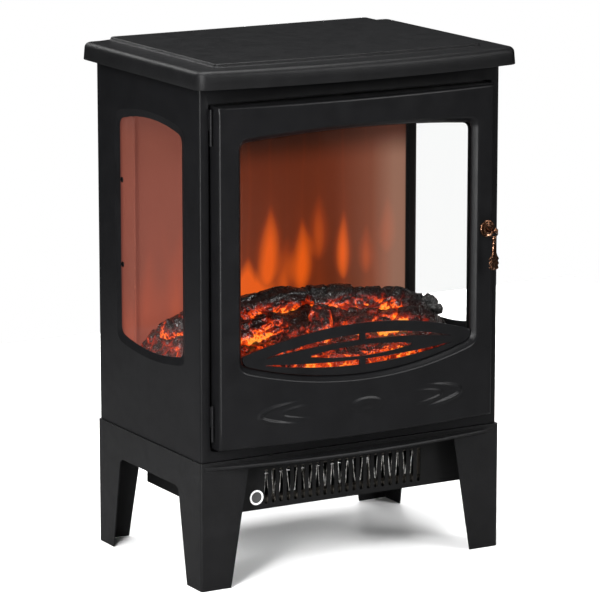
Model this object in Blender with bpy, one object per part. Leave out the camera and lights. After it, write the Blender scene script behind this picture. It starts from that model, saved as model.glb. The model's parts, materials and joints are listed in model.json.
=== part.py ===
"""Free-standing electric fireplace in the style of a small cast stove.

Frame: metres, +Z up, front towards -Y, origin on the floor under the middle of the overall
box. The pieces are drawn about the middle of the base, then moved back by OVERHANG, because
the lid reaches further out at the front.

A sheet-metal cabinet with two side windows and a bowed door stands on a tapered-leg base. A
fan heater hangs in the base behind a slotted panel, and the flame effect (log bed,
translucent screen, turning spindle) fills the cabinet.
"""
import math

import bmesh
import bpy
from mathutils import Matrix, Vector

# ---- overall sizes ----------------------------------------------------------------------
GAP = 0.0003            # running gap between neighbouring pieces
SHEET = 0.0015          # sheet steel
OVERHANG = 0.0115       # base middle to the middle of the overall box
BASE_W = 0.410
BASE_D = 0.264
SEAM_Z = 0.154          # joint between base and cabinet
CAB_W = 0.406
CAB_D = 0.258
LID_W = 0.430
LID_FRONT = -0.150      # lid front edge at its corners
LID_BACK = 0.147
LID_BOW = 0.020
LID_Z0 = 0.595
LID_RIM_Z = 0.616
LID_TOP_Z = 0.620
LID_SHEET = 0.0016
CAB_TOP = LID_RIM_Z - LID_SHEET - GAP   # the lid rests on the cabinet walls

# ---- base -------------------------------------------------------------------------------
LEG_FOOT_X = 0.167      # inner edge of a leg at the floor, front and back view
LEG_HEAD_X = 0.1415
LEG_FOOT_Y = 0.097      # inner edge of a leg at the floor, side view
LEG_HEAD_Y = 0.0745
SKIRT_Z = 0.1155        # lower edge of the side and back skirts
SHELF_Z = 0.1495        # top of the bowed shelf under the door
SHELF_T = 0.005
SHELF_HALF = 0.199
SHELF_BOW = 0.0205

# ---- door -------------------------------------------------------------------------------
DOOR_HALF = 0.1865
DOOR_Z0 = 0.170
DOOR_Z1 = 0.573
DOOR_FRONT = -0.145     # front face at the two upright edges
DOOR_REAR = -0.1225
DOOR_BOW = 0.014
WIN_HALF = 0.162        # window opening in the door, outer edge of its sloped rim
WIN_TOP = 0.543
WIN_TOP_END = 0.5345
WIN_BOT = 0.2385
WIN_BOT_END = 0.262
WIN_R = 0.012
RIM_IN = 0.0055         # sloped rim: width in the face
RIM_DEEP = 0.008        # sloped rim: depth

# ---- hinge and handle -------------------------------------------------------------------
HINGE_X = -0.189
HINGE_Y = -0.131
BARREL_R = 0.0019
PIN_R = 0.0008
HANDLE_X = 0.1755
HANDLE_Z = 0.400
HANDLE_REACH = 0.0155   # door face to the pendant's swing axis
EYE_Z = HANDLE_Z - 0.0010

# ---- frame around the door --------------------------------------------------------------
FRAME_HALF = 0.1915     # inner edge of the frame's front strip
FRAME_Z0 = 0.166
FRAME_Z1 = 0.5755
STOP_Y = -0.121         # door stop face, set back behind the strip
STOP_W = 0.0195

# ---- side windows -----------------------------------------------------------------------
SIDE_MID_Y = -0.004
SIDE_HALF = 0.087
SIDE_TOP = 0.551
SIDE_TOP_END = 0.541
SIDE_BOT = 0.254
SIDE_BOT_END = 0.263
SIDE_R = 0.014
SIDE_RIM_IN = 0.009

# ---- heater -----------------------------------------------------------------------------
VENT_Y = -0.109
VENT_HALF = 0.1695
VENT_Z0 = 0.083
VENT_Z1 = 0.1515
SLOT_COUNT = 22
SLOT_PITCH = 0.01005
SLOT_W = 0.0052
SLOT_Z0 = 0.089
SLOT_Z1 = 0.131
BOX_BACK = 0.072
FAN_Y = 0.020
FAN_Z = 0.118
FAN_R = 0.020
FAN_LEN = 0.190

# ---- flame effect -----------------------------------------------------------------------
DECK_Z = 0.240          # top of the deck that carries the log bed
SCREEN_Y = 0.0605
SCREEN_T = 0.0025
WING_X = 0.1945
WING_T = 0.002
WING_Y0 = 0.048
WING_Y1 = 0.090
SPINDLE_Y = 0.098
SPINDLE_Z = 0.300


def material(name, colour, roughness, metallic=0.0, alpha=1.0, transmission=0.0):
    mat = bpy.data.materials.new(name)
    mat.use_nodes = True
    shader = mat.node_tree.nodes["Principled BSDF"]
    shader.inputs["Base Color"].default_value = (*colour, 1.0)
    shader.inputs["Roughness"].default_value = roughness
    shader.inputs["Metallic"].default_value = metallic
    shader.inputs["Alpha"].default_value = alpha
    shader.inputs["Transmission Weight"].default_value = transmission
    mat.diffuse_color = (*colour, 1.0)
    return mat


def mesh_object(name, verts, faces, mat):
    mesh = bpy.data.meshes.new(name)
    mesh.from_pydata([tuple(v) for v in verts], [], faces)
    bm = bmesh.new()
    bm.from_mesh(mesh)
    bmesh.ops.recalc_face_normals(bm, faces=bm.faces)
    bmesh.ops.triangulate(bm, faces=bm.faces, quad_method="FIXED")
    bm.to_mesh(mesh)
    bm.free()
    mesh.materials.append(mat)
    obj = bpy.data.objects.new(name, mesh)
    bpy.context.scene.collection.objects.link(obj)
    return obj


def loft(name, loops, mat, ring=False):
    """Skin equal loops in order; capped at both ends, or closed on itself as a ring."""
    count = len(loops[0])
    verts = [p for loop in loops for p in loop]
    faces = []
    spans = len(loops) if ring else len(loops) - 1
    for k in range(spans):
        a = k * count
        b = ((k + 1) % len(loops)) * count
        for i in range(count):
            j = (i + 1) % count
            faces.append((a + i, a + j, b + j, b + i))
    if not ring:
        faces.append(tuple(reversed(range(count))))
        faces.append(tuple(range((len(loops) - 1) * count, len(loops) * count)))
    return mesh_object(name, verts, faces, mat)


def box(name, x, y, z, mat):
    loops = [[(x[0], y[0], h), (x[1], y[0], h), (x[1], y[1], h), (x[0], y[1], h)] for h in z]
    return loft(name, loops, mat)


def prism(name, outline, axis, span, mat):
    """Extrude a flat outline along an axis; outline pairs are the two other axes in order."""
    place = {
        "X": lambda u, v, h: (h, u, v),
        "Y": lambda u, v, h: (u, h, v),
        "Z": lambda u, v, h: (u, v, h),
    }[axis]
    return loft(name, [[place(u, v, h) for u, v in outline] for h in span], mat)


def circle(radius, segments, centre=(0.0, 0.0)):
    step = 2 * math.pi / segments
    return [(centre[0] + radius * math.cos(i * step), centre[1] + radius * math.sin(i * step))
            for i in range(segments)]


def turned(name, centre, axis, profile, mat, segments=24, bore=0.0):
    """Turned piece: profile is (radius, offset along the axis); bore makes a through hole."""
    rows = list(profile)
    if bore:
        rows = rows + [(bore, rows[-1][1]), (bore, rows[0][1])]
    place = {
        "X": lambda u, v, h: (centre[0] + h, centre[1] + u, centre[2] + v),
        "Y": lambda u, v, h: (centre[0] + u, centre[1] + h, centre[2] + v),
        "Z": lambda u, v, h: (centre[0] + u, centre[1] + v, centre[2] + h),
    }[axis]
    loops = [[place(u, v, h) for u, v in circle(r, segments)] for r, h in rows]
    obj = loft(name, loops, mat, ring=bool(bore))
    obj.data.shade_smooth()
    obj.data.set_sharp_from_angle(angle=math.radians(35))
    return obj


def fillet(points, radius, segments=4):
    """Round every corner of a closed outline; radius is one number or one per corner."""
    radii = radius if isinstance(radius, (list, tuple)) else [radius] * len(points)
    out = []
    for i, corner in enumerate(points):
        p = Vector(corner)
        a = (Vector(points[i - 1]) - p).normalized()
        b = (Vector(points[(i + 1) % len(points)]) - p).normalized()
        if radii[i] <= 0:
            out.append(tuple(p))
            continue
        half = a.angle(b) / 2
        reach = radii[i] / math.tan(half)
        start, end = p + a * reach, p + b * reach
        for k in range(segments + 1):
            t = k / segments
            q = start.lerp(p, t).lerp(p.lerp(end, t), t)
            out.append(tuple(q))
    return out


def combine(target, tools, operation):
    """Boolean each tool into the target and keep the result as plain mesh."""
    for tool in tools:
        mod = target.modifiers.new(operation.title(), "BOOLEAN")
        mod.operation = operation
        mod.solver = "EXACT"
        mod.object = tool
        evaluated = target.evaluated_get(bpy.context.evaluated_depsgraph_get())
        mesh = bpy.data.meshes.new_from_object(evaluated)
        target.modifiers.clear()
        target.data = mesh
        bpy.data.objects.remove(tool)
    return target


def cut(target, *tools):
    return combine(target, tools, "DIFFERENCE")


def join(target, *tools):
    return combine(target, tools, "UNION")


def clean(obj, distance=0.00002):
    bm = bmesh.new()
    bm.from_mesh(obj.data)
    bmesh.ops.remove_doubles(bm, verts=bm.verts, dist=distance)
    bmesh.ops.dissolve_degenerate(bm, edges=bm.edges, dist=distance)
    bm.to_mesh(obj.data)
    bm.free()
    return obj


def set_origin(obj, point):
    """Move the object's origin to a point without moving its shape."""
    shift = Vector(point) - obj.location
    obj.data.transform(Matrix.Translation(-shift))
    obj.location = Vector(point)


def bow(x):
    """Forward bulge of the door at a station across its width."""
    return -DOOR_BOW * (1 - (x / DOOR_HALF) ** 2)


def lens(x, half, middle, end):
    return end + (middle - end) * (1 - (x / half) ** 2)


def stations(half, count):
    return [half * (2 * i / (count - 1) - 1) for i in range(count)]


def barrel(half, top, top_end, bot, bot_end, radius, arc=13, corner=4, side=3):
    """Barrel outline (arched top and bottom, straight sides), with a tag for each point.

    A tag is (part, t): part names the stretch of the outline the point belongs to.
    """
    flat = half - radius
    xs = stations(flat, arc)
    points, tags = [], []

    def bend(p0, p1, p2, part):
        for k in range(1, corner):
            t = k / corner
            q = Vector(p0).lerp(Vector(p1), t).lerp(Vector(p1).lerp(Vector(p2), t), t)
            points.append(tuple(q))
            tags.append((part, t))

    def upright(x, z0, z1, part):
        for k in range(side + 1):
            points.append((x, z0 + (z1 - z0) * k / side))
            tags.append((part, None))

    hi, lo = top_end - radius, bot_end + radius
    for x in xs:
        points.append((x, lens(x, half, top, top_end)))
        tags.append(("top", None))
    bend(points[-1], (half, top_end), (half, hi), "top_right")
    upright(half, hi, lo, "right")
    bend((half, lo), (half, bot_end), (flat, lens(flat, half, bot, bot_end)), "bottom_right")
    for x in reversed(xs):
        points.append((x, lens(x, half, bot, bot_end)))
        tags.append(("bottom", None))
    bend(points[-1], (-half, bot_end), (-half, lo), "bottom_left")
    upright(-half, lo, hi, "left")
    bend((-half, hi), (-half, top_end), points[0], "top_left")
    return points, tags


def window(inset):
    """Door window outline, drawn in by an inset."""
    return barrel(WIN_HALF - inset, WIN_TOP - inset, WIN_TOP_END - inset,
                  WIN_BOT + inset, WIN_BOT_END + inset, WIN_R - inset / 2)


def rectangle_matched(inset):
    """Door outline with one point for every point of the window outline."""
    half, z0, z1 = DOOR_HALF - inset, DOOR_Z0 + inset, DOOR_Z1 - inset
    outline = []
    for (x, z), (part, t) in zip(*window(0.0)):
        if part == "top":
            outline.append((x, z1))
        elif part == "bottom":
            outline.append((x, z0))
        elif part in ("left", "right"):
            outline.append((math.copysign(half, x), z))
        else:
            level = z1 if part.startswith("top") else z0
            first_flat = part in ("top_right", "bottom_left")
            along = t if first_flat else 1 - t
            side = 1 if part.endswith("right") else -1
            flat = WIN_HALF - WIN_R
            post = (WIN_TOP_END - WIN_R) if level == z1 else (WIN_BOT_END + WIN_R)
            if along <= 0.5:
                outline.append((side * (flat + (half - flat) * along * 2), level))
            else:
                outline.append((side * half, level + (post - level) * (along - 0.5) * 2))
    return outline


def bowed_loop(outline, y, bulge=True):
    return [(x, y + (bow(x) if bulge else 0.0), z) for x, z in outline]


def bowed_plate(name, xs, z_low, z_high, y0, y1, mat):
    """Plate that follows the door's bow, cut to two height functions."""
    loops = []
    for x in xs:
        b, lo, hi = bow(x), z_low(x), z_high(x)
        loops.append([(x, y0 + b, lo), (x, y1 + b, lo), (x, y1 + b, hi), (x, y0 + b, hi)])
    return loft(name, loops, mat)


def wave(*terms):
    """Repeatable unevenness between -1 and 1, from a sum of sines."""
    return sum(math.sin(a) for a in terms) / len(terms)


def log_piece(name, start, end, radius, mat, phase, swell=0.0, sides=9, rings=7):
    """Rough split log between two points: an uneven loft, thinner and broken at the ends."""
    axis = (Vector(end) - Vector(start)).normalized()
    a, b = Vector(start) - axis * swell, Vector(end) + axis * swell
    side = axis.cross(Vector((0, 0, 1))).normalized()
    up = side.cross(axis)
    loops = []
    for i in range(rings):
        t = i / (rings - 1)
        centre = a.lerp(b, t) + up * (0.08 * radius * wave(5 * t + phase, 9 * t))
        taper = 1.0 - 0.42 * abs(2 * t - 1) ** 5
        loop = []
        for k in range(sides):
            turn = 2 * math.pi * k / sides
            r = radius * taper * (1 + 0.13 * wave(3 * turn + phase, 7 * t + 2 * turn)) + swell
            slant = axis * (0.25 * radius * math.sin(turn + phase) * (1 if i in (0, rings - 1) else 0))
            loop.append(centre + slant + side * (r * math.cos(turn)) + up * (r * 0.92 * math.sin(turn)))
        loops.append(loop)
    return loft(name, loops, mat)


for stale in list(bpy.data.objects):
    bpy.data.objects.remove(stale)

BLACK = material("powder_coat_black", (0.020, 0.020, 0.021), 0.42, 0.25)
TEXTURED = material("textured_coat_black", (0.022, 0.022, 0.023), 0.55, 0.20)
DARK = material("inner_steel_black", (0.012, 0.012, 0.012), 0.60, 0.30)
GLASS = material("tempered_glass", (0.90, 0.92, 0.92), 0.04, 0.0, alpha=0.25, transmission=0.9)
SCREEN = material("flame_screen_acrylic", (0.35, 0.10, 0.04), 0.45)
LOG = material("charred_log_resin", (0.035, 0.028, 0.026), 0.80)
EMBER = material("ember_resin", (0.55, 0.10, 0.02), 0.60)
COPPER = material("antique_copper", (0.42, 0.20, 0.11), 0.32, 0.90)
STEEL = material("zinc_plated_steel", (0.55, 0.55, 0.54), 0.35, 0.85)
MICA = material("mica_board", (0.70, 0.66, 0.58), 0.55)
WIRE = material("resistance_wire", (0.72, 0.68, 0.62), 0.30, 0.80)
PLASTIC = material("black_plastic", (0.025, 0.025, 0.025), 0.45)
BOARD = material("circuit_board", (0.75, 0.76, 0.74), 0.50)
WHITE = material("badge_white", (0.80, 0.80, 0.78), 0.45)
MIRROR = material("spindle_foil", (0.75, 0.73, 0.70), 0.18, 0.95)

# ======================= base ============================================================
half_w, half_d = BASE_W / 2, BASE_D / 2
base_plan = fillet([(-half_w, -half_d), (half_w, -half_d), (half_w, half_d), (-half_w, half_d)],
                   0.003, 3)
base = prism("base_frame", base_plan, "Z", (0.0, SEAM_Z), TEXTURED)
inner = box("cavity", (-half_w + SHEET, half_w - SHEET), (-half_d + SHEET, half_d - SHEET),
            (-0.01, SEAM_Z - SHEET), TEXTURED)


def leg_opening(foot, head, top, radius):
    return fillet([(-foot, -0.01), (foot, -0.01), (head, top), (-head, top)],
                  [0, 0, radius, radius], 4)


front_gap = prism("cutter", leg_opening(LEG_FOOT_X, LEG_HEAD_X, SHELF_Z - SHELF_T, 0.006),
                  "Y", (-0.2, 0.0), TEXTURED)
back_gap = prism("cutter", leg_opening(LEG_FOOT_X, LEG_HEAD_X + 0.004, SKIRT_Z, 0.009),
                 "Y", (0.0, 0.2), TEXTURED)
side_gap = prism("cutter", leg_opening(LEG_FOOT_Y, LEG_HEAD_Y, SKIRT_Z, 0.009),
                 "X", (-0.3, 0.3), TEXTURED)
duct_hole = box("cutter", (-0.030, 0.030), (0.080, 0.115), (0.14, 0.17), TEXTURED)
cut(base, inner, front_gap, back_gap, side_gap, duct_hole)

# bowed shelf with a rounded nose, standing out in front of the legs
nose = SHELF_T / 2
shelf_xs = stations(SHELF_HALF, 21)
shelf_loops = []
for x in shelf_xs:
    front = -half_d - SHELF_BOW * (1 - (x / SHELF_HALF) ** 2) - 0.0004
    section = [(-half_d + 0.0008, SHELF_Z - SHELF_T), (-half_d + 0.0008, SHELF_Z)]
    lead = min(nose, (-half_d - front) * 0.5)
    for k in range(5):
        turn = math.pi / 2 - math.pi * k / 4
        section.append((front + lead - lead * math.cos(turn), SHELF_Z - nose + nose * math.sin(turn)))
    shelf_loops.append([(x, y, z) for y, z in section])
join(base, loft("tool", shelf_loops, TEXTURED))
clean(base)

# ======================= slotted panel, badge and heater =================================
vent = box("vent_panel", (-VENT_HALF, VENT_HALF), (VENT_Y - 0.0008, VENT_Y + 0.0007),
           (VENT_Z0, VENT_Z1), DARK)
slot_r = SLOT_W / 2
for i in range(SLOT_COUNT):
    x = (i - (SLOT_COUNT - 1) / 2) * SLOT_PITCH
    ends = []
    for k in range(5):
        turn = math.pi * k / 4
        ends.append((x + slot_r * math.cos(turn), SLOT_Z1 - slot_r + slot_r * math.sin(turn)))
    for k in range(5):
        turn = math.pi + math.pi * k / 4
        ends.append((x + slot_r * math.cos(turn), SLOT_Z0 + slot_r + slot_r * math.sin(turn)))
    cut(vent, prism("cutter", ends, "Y", (VENT_Y - 0.01, VENT_Y + 0.01), DARK))

turned("vent_badge", (-0.1195, VENT_Y - 0.0008 - GAP, 0.0985), "Y",
       [(0.0086, 0.0), (0.0090, -0.0003), (0.0090, -0.0008), (0.0074, -0.0012)], WHITE, 32)

heater_box = box("heater_box", (-0.170, 0.170), (VENT_Y + 0.0010, BOX_BACK), (VENT_Z0, VENT_Z1), DARK)
cut(heater_box, box("cutter", (-0.1688, 0.1688), (-0.15, BOX_BACK - 0.0012), (VENT_Z0 + 0.0012, 0.2), DARK))
for i in range(9):
    x = (i - 4) * 0.024
    cut(heater_box, box("cutter", (x - 0.008, x + 0.008), (0.030, 0.0345), (0.07, 0.09), DARK),
        box("cutter", (x - 0.008, x + 0.008), (0.044, 0.0485), (0.07, 0.09), DARK))

element_y = (-0.1045, -0.0925)
frame_x = 0.1165
element = box("element_frame", (-frame_x, frame_x), element_y, (0.0885, 0.1335), MICA)
cut(element, box("cutter", (-0.110, 0.110), (-0.2, 0.2), (0.0945, 0.1275), MICA))
for i in range(5):
    x = (i - 2) * 0.044
    join(element, box("tool", (x - 0.0008, x + 0.0008), (-0.0955, -0.0930), (0.0925, 0.1295), MICA))


def zigzag_wire(name, half, z_low, z_high, y, pitch, size, mat):
    """One wire run up and down across the frame, with square section."""
    turns = int(round(2 * half / pitch))
    path = []
    for i in range(turns + 1):
        x = -half + i * pitch
        path.append((x, z_high if i % 2 else z_low))
    loops = []
    for i, (x, z) in enumerate(path):
        before = Vector(path[max(i - 1, 0)])
        after = Vector(path[min(i + 1, len(path) - 1)])
        here = Vector((x, z))
        d_in = (here - before).normalized() if i else (after - here).normalized()
        d_out = (after - here).normalized() if i < len(path) - 1 else d_in
        normal = Vector((-d_in.y - d_out.y, d_in.x + d_out.x)).normalized()
        stretch = size / 2 / max(0.5, normal.dot(Vector((-d_in.y, d_in.x))))
        a, b = here + normal * stretch, here - normal * stretch
        loops.append([(a.x, y - size / 2, a.y), (b.x, y - size / 2, b.y),
                      (b.x, y + size / 2, b.y), (a.x, y + size / 2, a.y)])
    return loft(name, loops, mat)


zigzag_wire("element_wire", 0.1085, 0.0962, 0.1258, -0.0985, 0.0035, 0.0010, WIRE)

# cross-flow fan: wheel, scroll housing, motor
wheel = turned("fan_wheel", (-FAN_LEN / 2, FAN_Y, FAN_Z), "X",
               [(FAN_R, 0.0), (FAN_R, 0.0015)], DARK, 24)
join(wheel, turned("tool", (0, FAN_Y, FAN_Z), "X",
                   [(FAN_R, FAN_LEN / 2 - 0.0015), (FAN_R, FAN_LEN / 2)], DARK, 24),
     turned("tool", (0, FAN_Y, FAN_Z), "X",
            [(0.0025, -FAN_LEN / 2 - 0.010), (0.0025, FAN_LEN / 2 + 0.012)], DARK, 10))
for i in range(14):
    turn = 2 * math.pi * (i + 0.5) / 14
    blade = []
    for r, lag in ((0.0140, 0.0), (0.0190, 0.30)):
        for edge in (-0.0005, 0.0005):
            a = turn + lag + edge / r
            blade.append((FAN_Y + r * math.cos(a), FAN_Z + r * math.sin(a)))
    blade = [blade[0], blade[2], blade[3], blade[1]]
    join(wheel, prism("tool", blade, "X", (-FAN_LEN / 2 + 0.0007, FAN_LEN / 2 - 0.0007), DARK))
clean(wheel)
set_origin(wheel, (0.0, FAN_Y, FAN_Z))

# scroll: a bent sheet that wraps the rear of the wheel and leads to the element
scroll_out, scroll_in = [], []
for k in range(13):
    turn = math.radians(60 - 17.5 * k)
    r = 0.0245 + 0.0001 * k
    scroll_out.append((FAN_Y + (r + 0.0012) * math.cos(turn), FAN_Z + (r + 0.0012) * math.sin(turn)))
    scroll_in.append((FAN_Y + r * math.cos(turn), FAN_Z + r * math.sin(turn)))
prism("fan_scroll", scroll_out + scroll_in[::-1], "X", (-FAN_LEN / 2, FAN_LEN / 2), STEEL)

motor_x = FAN_LEN / 2 + 0.0145
turned("fan_motor", (motor_x, FAN_Y, FAN_Z), "X",
       [(0.010, 0.0), (0.0185, 0.0015), (0.0185, 0.030), (0.009, 0.032)], STEEL, 20, bore=0.0029)
bearing = box("tool", (-FAN_LEN / 2 - 0.0085, -FAN_LEN / 2 - 0.0045),
              (FAN_Y - 0.012, FAN_Y + 0.012), (VENT_Z0 + 0.0006, FAN_Z + 0.010), DARK)
cut(bearing, turned("cutter", (-FAN_LEN / 2 - 0.02, FAN_Y, FAN_Z), "X",
                    [(0.0029, 0.0), (0.0029, 0.04)], DARK, 12))
join(heater_box, bearing)
turned("thermal_cutout", (-0.140, -0.085, VENT_Z0 + 0.0012 + GAP), "Z",
       [(0.0085, 0.0), (0.0085, 0.004), (0.0060, 0.0055), (0.0060, 0.009)], PLASTIC, 20)

# ======================= cabinet =========================================================
cab_x, cab_y = CAB_W / 2, CAB_D / 2
cab_z0 = SEAM_Z + GAP
plan = fillet([(-cab_x, -cab_y), (cab_x, -cab_y), (cab_x, cab_y), (-cab_x, cab_y)],
              [0.0035, 0.0035, 0, 0], 4)
shell = prism("cabinet_shell", plan, "Z", (cab_z0, CAB_TOP), BLACK)
in_x = cab_x - SHEET
cut(shell,
    box("cutter", (-in_x, in_x), (STOP_Y + SHEET, 0.2), (0.1, 0.7), BLACK))
# front strip, step back to the door stop, and the opening inside the stop
recess = prism("cutter", fillet([(-FRAME_HALF, FRAME_Z0), (FRAME_HALF, FRAME_Z0),
                                 (FRAME_HALF, FRAME_Z1), (-FRAME_HALF, FRAME_Z1)],
                                [0.008, 0.008, 0.002, 0.002], 4),
               "Y", (-0.2, STOP_Y), BLACK)
stop_x = FRAME_HALF - STOP_W
opening = box("cutter", (-stop_x, stop_x), (-0.2, 0.0),
              (FRAME_Z0 + STOP_W - 0.006, FRAME_Z1 - STOP_W), BLACK)
hollow_left = box("cutter", (-in_x, -FRAME_HALF - SHEET), (-cab_y + SHEET, 0.0), (0.1, 0.7), BLACK)
hollow_right = box("cutter", (FRAME_HALF + SHEET, in_x), (-cab_y + SHEET, 0.0), (0.1, 0.7), BLACK)
hollow_top = box("cutter", (-in_x, in_x), (-cab_y + SHEET, 0.0), (FRAME_Z1 + SHEET, 0.7), BLACK)
hollow_low = box("cutter", (-in_x, in_x), (-cab_y + SHEET, 0.0), (0.1, FRAME_Z0 - SHEET), BLACK)
cut(shell, recess, opening, hollow_left, hollow_right, hollow_top, hollow_low)


def side_outline(inset):
    points, _ = barrel(SIDE_HALF - inset, SIDE_TOP - inset, SIDE_TOP_END - inset,
                       SIDE_BOT + inset, SIDE_BOT_END + inset, SIDE_R - inset / 2, arc=9, side=1)
    return [(SIDE_MID_Y + u, v) for u, v in points]


pad_in = cab_x - 0.0022
for side in (-1, 1):
    pad = prism("tool", side_outline(-0.0015), "X", sorted((side * pad_in, side * (cab_x - 0.0007))), BLACK)
    join(shell, pad)
    wedge = []
    for x, inset in ((cab_x + 0.002, -SIDE_RIM_IN * 0.91), (cab_x - 0.0042, SIDE_RIM_IN * 1.91)):
        wedge.append([(side * x, u, v) for u, v in side_outline(inset)])
    cut(shell, loft("cutter", wedge, BLACK))
clean(shell)

floor_plate = box("floor_plate", (-in_x + GAP, in_x - GAP), (-0.1190, cab_y - 0.0040),
                  (SEAM_Z + GAP, SEAM_Z + GAP + 0.0012), DARK)
cut(floor_plate, box("cutter", (-0.030, 0.030), (0.080, 0.115), (0.14, 0.17), DARK))

deck = box("deck_plate", (-in_x + GAP, in_x - GAP), (-0.1150, cab_y - 0.0040),
           (DECK_Z - 0.0015, DECK_Z), DARK)
cut(deck, box("cutter", (-0.150, 0.150), (0.070, 0.122), (0.2, 0.3), DARK))

back = box("back_panel", (-in_x + GAP, in_x - GAP), (cab_y - 0.0032, cab_y - 0.0017),
           (SEAM_Z + 0.002, CAB_TOP - 0.002), BLACK)
for row in range(4):
    for col in range(9):
        x = (col - 4) * 0.026
        z = 0.500 + row * 0.016
        cut(back, box("cutter", (x - 0.009, x + 0.009), (0.1, 0.2), (z - 0.002, z + 0.002), BLACK))
cut(back, turned("cutter", (0.120, 0.10, 0.190), "Y", [(0.0068, 0.0), (0.0068, 0.05)], BLACK, 20))

screw_profile = [(0.0030, 0.0), (0.0034, 0.0005), (0.0028, 0.0016), (0.0014, 0.0021)]
for index, (x, z) in enumerate([(-0.185, 0.180), (0.185, 0.180), (-0.185, 0.575), (0.185, 0.575)], 1):
    turned("back_screw_%d" % index, (x, cab_y - 0.0017 + GAP, z), "Y", screw_profile, STEEL, 14)

turned("cord_gland", (0.120, cab_y - 0.0060, 0.190), "Y",
       [(0.0095, 0.0), (0.0095, 0.0025), (0.0063, 0.00251), (0.0063, 0.0080), (0.0085, 0.00801),
        (0.0075, 0.0120)], PLASTIC, 20, bore=0.0035)
box("terminal_block", (0.085, 0.110), (0.085, 0.105), (SEAM_Z + 0.0018, SEAM_Z + 0.0165), PLASTIC)

# ======================= lid =============================================================
def lid_plan(inset, half, front, rear, bulge, radius):
    hw = half - inset
    y0, y1 = front + inset, rear - inset
    r = max(radius - inset, 0.002)
    pts = []
    for x in stations(hw - r, 17):
        pts.append((x, y0 - bulge * (1 - (x / half) ** 2)))
    edge = y0 - bulge * (1 - ((hw - r) / half) ** 2)

    def bend(a, b, c):
        for k in range(1, 5):
            t = k / 5
            pts.append(tuple(Vector(a).lerp(Vector(b), t).lerp(Vector(b).lerp(Vector(c), t), t)))

    bend((hw - r, edge), (hw, y0), (hw, y0 + r))
    pts.append((hw, y0 + r))
    pts.append((hw, y1 - r))
    bend((hw, y1 - r), (hw, y1), (hw - r, y1))
    for x in reversed(stations(hw - r, 3)):
        pts.append((x, y1))
    bend((-hw + r, y1), (-hw, y1), (-hw, y1 - r))
    pts.append((-hw, y1 - r))
    pts.append((-hw, y0 + r))
    bend((-hw, y0 + r), (-hw, y0), (-hw + r, edge))
    return pts


def lid_edge(inset, z):
    return [(x, y, z) for x, y in lid_plan(inset, LID_W / 2, LID_FRONT, LID_BACK, LID_BOW, 0.012)]


def lid_panel(inset, z):
    return [(x, y, z) for x, y in lid_plan(inset, 0.180, -0.125, LID_BACK - 0.004, 0.0085, 0.006)]


loft("top_lid", [
    lid_panel(0.0045, LID_TOP_Z - LID_SHEET), lid_panel(0.0020, LID_RIM_Z - LID_SHEET),
    lid_edge(0.0085, LID_RIM_Z - LID_SHEET), lid_edge(0.0028, LID_RIM_Z - 0.0045),
    lid_edge(0.0016, LID_RIM_Z - 0.0080), lid_edge(0.0008, LID_Z0),
    lid_edge(-0.0008, LID_Z0), lid_edge(0.0, LID_RIM_Z - 0.0075), lid_edge(0.0010, LID_RIM_Z - 0.0040),
    lid_edge(0.0035, LID_RIM_Z - 0.0012), lid_edge(0.0075, LID_RIM_Z),
    lid_panel(0.0, LID_RIM_Z), lid_panel(0.0012, LID_TOP_Z - 0.0008), lid_panel(0.0025, LID_TOP_Z),
], TEXTURED)

# ======================= side glass and clips ============================================
for side, word in ((-1, "left"), (1, "right")):
    pane, _ = barrel(SIDE_HALF - 0.0045, SIDE_TOP - 0.004, SIDE_TOP_END - 0.004, SIDE_BOT + 0.004,
                     SIDE_BOT_END + 0.004, SIDE_R, arc=9, side=1)
    pane = [(SIDE_MID_Y + u, v) for u, v in pane]
    prism("side_glass_" + word, pane, "X", sorted((side * 0.1983, side * 0.2005)), GLASS)

# ======================= flame screen ====================================================
wing = WING_X + WING_T
screen_plan = [(-wing, WING_Y0), (-WING_X, WING_Y0), (-WING_X, SCREEN_Y), (WING_X, SCREEN_Y),
               (WING_X, WING_Y0), (wing, WING_Y0), (wing, WING_Y1), (WING_X, WING_Y1),
               (WING_X, SCREEN_Y + SCREEN_T), (-WING_X, SCREEN_Y + SCREEN_T), (-WING_X, WING_Y1),
               (-wing, WING_Y1)]
prism("flame_screen", screen_plan, "Z", (DECK_Z + GAP, 0.572), SCREEN)
for side, word in ((-1, "left"), (1, "right")):
    for index, z in enumerate((0.457, 0.354), 1):
        profile = [(r, side * h * 0.75) for r, h in screw_profile[:3]]
        turned("screen_screw_%s_%d" % (word, index), (side * (wing + GAP), 0.078, z),
               "X", profile, DARK, 14)

# ======================= turning spindle behind the screen ===============================
spindle_half = 0.150
spindle = turned("flame_spindle", (0.0, SPINDLE_Y, SPINDLE_Z), "X",
                 [(0.0020, -spindle_half - 0.012), (0.0020, spindle_half + 0.012)], MIRROR, 10)
for i in range(13):
    x = (i - 6) * 0.0235
    turn = i * 2.1
    c, s = math.cos(turn), math.sin(turn)
    leaf = []
    for u, v in ((-0.014, -0.0004), (0.014, -0.0004), (0.014, 0.0004), (-0.014, 0.0004)):
        leaf.append((SPINDLE_Y + u * c - v * s, SPINDLE_Z + u * s + v * c))
    join(spindle, prism("tool", leaf, "X", (x - 0.007, x + 0.007), MIRROR))
clean(spindle)
set_origin(spindle, (0.0, SPINDLE_Y, SPINDLE_Z))
bracket_x = spindle_half + 0.0055
bracket = box("spindle_bracket", (-bracket_x, bracket_x), (SPINDLE_Y - 0.012, SPINDLE_Y + 0.012),
              (DECK_Z + GAP, SPINDLE_Z + 0.012), STEEL)
cut(bracket, box("cutter", (-bracket_x + 0.0015, bracket_x - 0.0015), (0.0, 0.2),
                 (DECK_Z + GAP + 0.0012, 0.4), STEEL),
    turned("cutter", (0.0, SPINDLE_Y, SPINDLE_Z), "X", [(0.0024, -0.2), (0.0024, 0.2)], STEEL, 12))
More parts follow.
